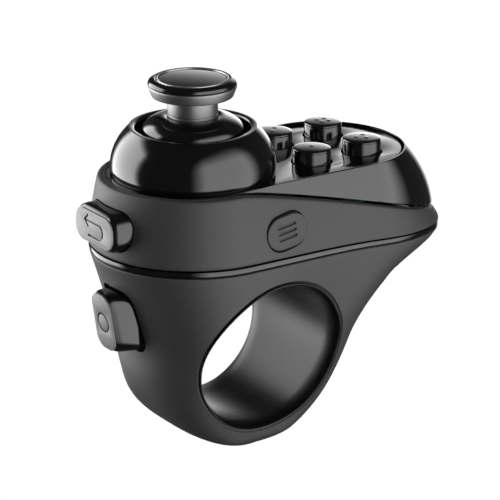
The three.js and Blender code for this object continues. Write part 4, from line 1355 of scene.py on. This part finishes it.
def soft_light(name, place, size, glow, target, fade=0.5):
    """A glowing sheet that fades towards its edges; place and size in millimetres."""
    u, v = size[0] / 2, size[1] / 2
    sheet = mesh_of([(-u, -v, 0), (u, -v, 0), (u, v, 0), (-u, v, 0)], [(0, 1, 2, 3)])
    shader = Shader(name)
    across = shader.node("ShaderNodeSeparateXYZ", None, {0: shader.place()}, "X")
    upward = shader.node("ShaderNodeSeparateXYZ", None, {0: shader.place()}, "Y")
    sides = [(1 - part.maths("ABSOLUTE", part) / half) / fade
             for part, half in ((across, u), (upward, v))]
    soft = [side.clamped() for side in sides]
    power = glow * bpy.context.scene.controller_stage.key_power
    bright = soft[0] * soft[0] * soft[1] * soft[1] * power
    front = 1 - shader.node("ShaderNodeNewGeometry", output="Backfacing")
    glowing = shader.node("ShaderNodeEmission", None, {"Strength": bright * front})
    shader.node("ShaderNodeOutputMaterial", None, {"Surface": glowing})
    sheet.materials.append(shader.material)
    holder = bpy.data.objects.new(name, sheet)
    holder.matrix_world = aimed(place, target) @ Matrix.Rotation(math.pi, 4, "X")
    holder.visible_camera = False
    bpy.context.scene.collection.objects.link(holder)


def studio_floor():
    """A plain pale sheet under the object."""
    ground = CAD_BOX[0][2] / MM - 0.05
    reach = FLOOR_REACH
    points = [(-reach, -reach, ground), (reach, -reach, ground), (reach, reach, ground),
              (-reach, reach, ground)]
    mesh = mesh_of(points, [(0, 1, 2, 3)])
    shader = Shader("pale_floor")
    pale = tuple(bpy.context.scene.controller_stage.floor_colour)
    mottle = shader.noise(0.05, 2.0)
    seen = shader.node("ShaderNodeEmission", None, {
        "Color": shader.blend(mottle, tint(pale, 1.09), tint(pale, 1.1)), "Strength": 1.04})
    clear = shader.node("ShaderNodeBsdfTransparent")
    camera_ray = shader.node("ShaderNodeLightPath", output="Is Camera Ray")
    surface = shader.node("ShaderNodeMixShader", None, {0: camera_ray, 1: clear, 2: seen})
    shader.node("ShaderNodeOutputMaterial", None, {"Surface": surface})
    mesh.materials.append(shader.material)
    floor = bpy.data.objects.new("floor", mesh)
    bpy.context.scene.collection.objects.link(floor)


def studio_world():
    """A white surround, dimmer where it lights and reflects than where it is seen."""
    world = bpy.data.worlds.new("studio")
    world.use_nodes = True
    tree = world.node_tree
    tree.nodes.clear()
    out = tree.nodes.new("ShaderNodeOutputWorld")
    seen, lit, choice = (tree.nodes.new(kind) for kind in
                         ("ShaderNodeBackground", "ShaderNodeBackground", "ShaderNodeMixShader"))
    seen.inputs["Strength"].default_value = SURROUND_SEEN
    seen.inputs["Color"].default_value = (1, 1, 1, 1)
    lit.inputs["Strength"].default_value = SURROUND_LIT
    lit.inputs["Color"].default_value = (1, 1, 1, 1)
    path = tree.nodes.new("ShaderNodeLightPath")
    tree.links.new(path.outputs["Is Camera Ray"], choice.inputs[0])
    tree.links.new(lit.outputs[0], choice.inputs[1])
    tree.links.new(seen.outputs[0], choice.inputs[2])
    tree.links.new(choice.outputs[0], out.inputs[0])
    bpy.context.scene.world = world


class CONTROLLER_OT_stage(bpy.types.Operator):
    """Sets the floor, the soft lamps and the camera."""

    bl_idname = "controller.stage"
    bl_label = "Stage"

    def execute(self, context):
        scene = context.scene
        studio_floor()
        studio_world()
        lamp("left_lamp", 124, 400, 620, -260, 420, 5.5, 0.35)
        lamp("right_lamp", 288, 430, 1280, -720, 740, 3.0, 0.55)
        lamp("back_lamp", 46, 420, 420, -240, 310, 4.5, 0.9)
        lens = bpy.data.cameras.new("camera")
        lens.lens = scene.controller_stage.focal
        lens.sensor_width = 36
        lens.clip_end = 100
        camera = bpy.data.objects.new("camera", lens)
        camera.matrix_world = aimed(CAMERA_PLACE, TARGET)
        scene.collection.objects.link(camera)
        scene.camera = camera
        scene.view_settings.view_transform = "Standard"
        return {"FINISHED"}


# ---- Panel and registration ------------------------------------------------


OPERATORS = (
    CONTROLLER_OT_shells,
    CONTROLLER_OT_deck,
    CONTROLLER_OT_stick,
    CONTROLLER_OT_deck_buttons,
    CONTROLLER_OT_front_buttons,
    CONTROLLER_OT_menu_button,
    CONTROLLER_OT_fittings,
    CONTROLLER_OT_works,
    CONTROLLER_OT_stage,
)

GROUPS = {
    "controller_body": BodySizes,
    "controller_top": TopSizes,
    "controller_finishes": Finishes,
    "controller_stage": StageSettings,
}


class CONTROLLER_PT_panel(bpy.types.Panel):
    """Lists the sizes, the finishes and the steps."""

    bl_idname = "CONTROLLER_PT_panel"
    bl_label = "Ring controller"
    bl_space_type = "VIEW_3D"
    bl_region_type = "UI"
    bl_category = "Controller"

    def draw(self, context):
        for key, group in GROUPS.items():
            box = self.layout.box()
            for name in group.__annotations__:
                box.prop(getattr(context.scene, key), name)
        for operator in OPERATORS:
            self.layout.operator(operator.bl_idname)


CLASSES = (*GROUPS.values(), *OPERATORS, CONTROLLER_PT_panel)


def register():
    for item in CLASSES:
        bpy.utils.register_class(item)
    for key, group in GROUPS.items():
        setattr(bpy.types.Scene, key, bpy.props.PointerProperty(type=group))


def unregister():
    for key in GROUPS:
        delattr(bpy.types.Scene, key)
    for item in reversed(CLASSES):
        bpy.utils.unregister_class(item)


def main():
    register()
    for operator in OPERATORS:
        group, name = operator.bl_idname.split(".")
        if getattr(getattr(bpy.ops, group), name)() != {"FINISHED"}:
            raise RuntimeError(f"{operator.bl_label} did not finish")


if __name__ == "__main__":
    main()
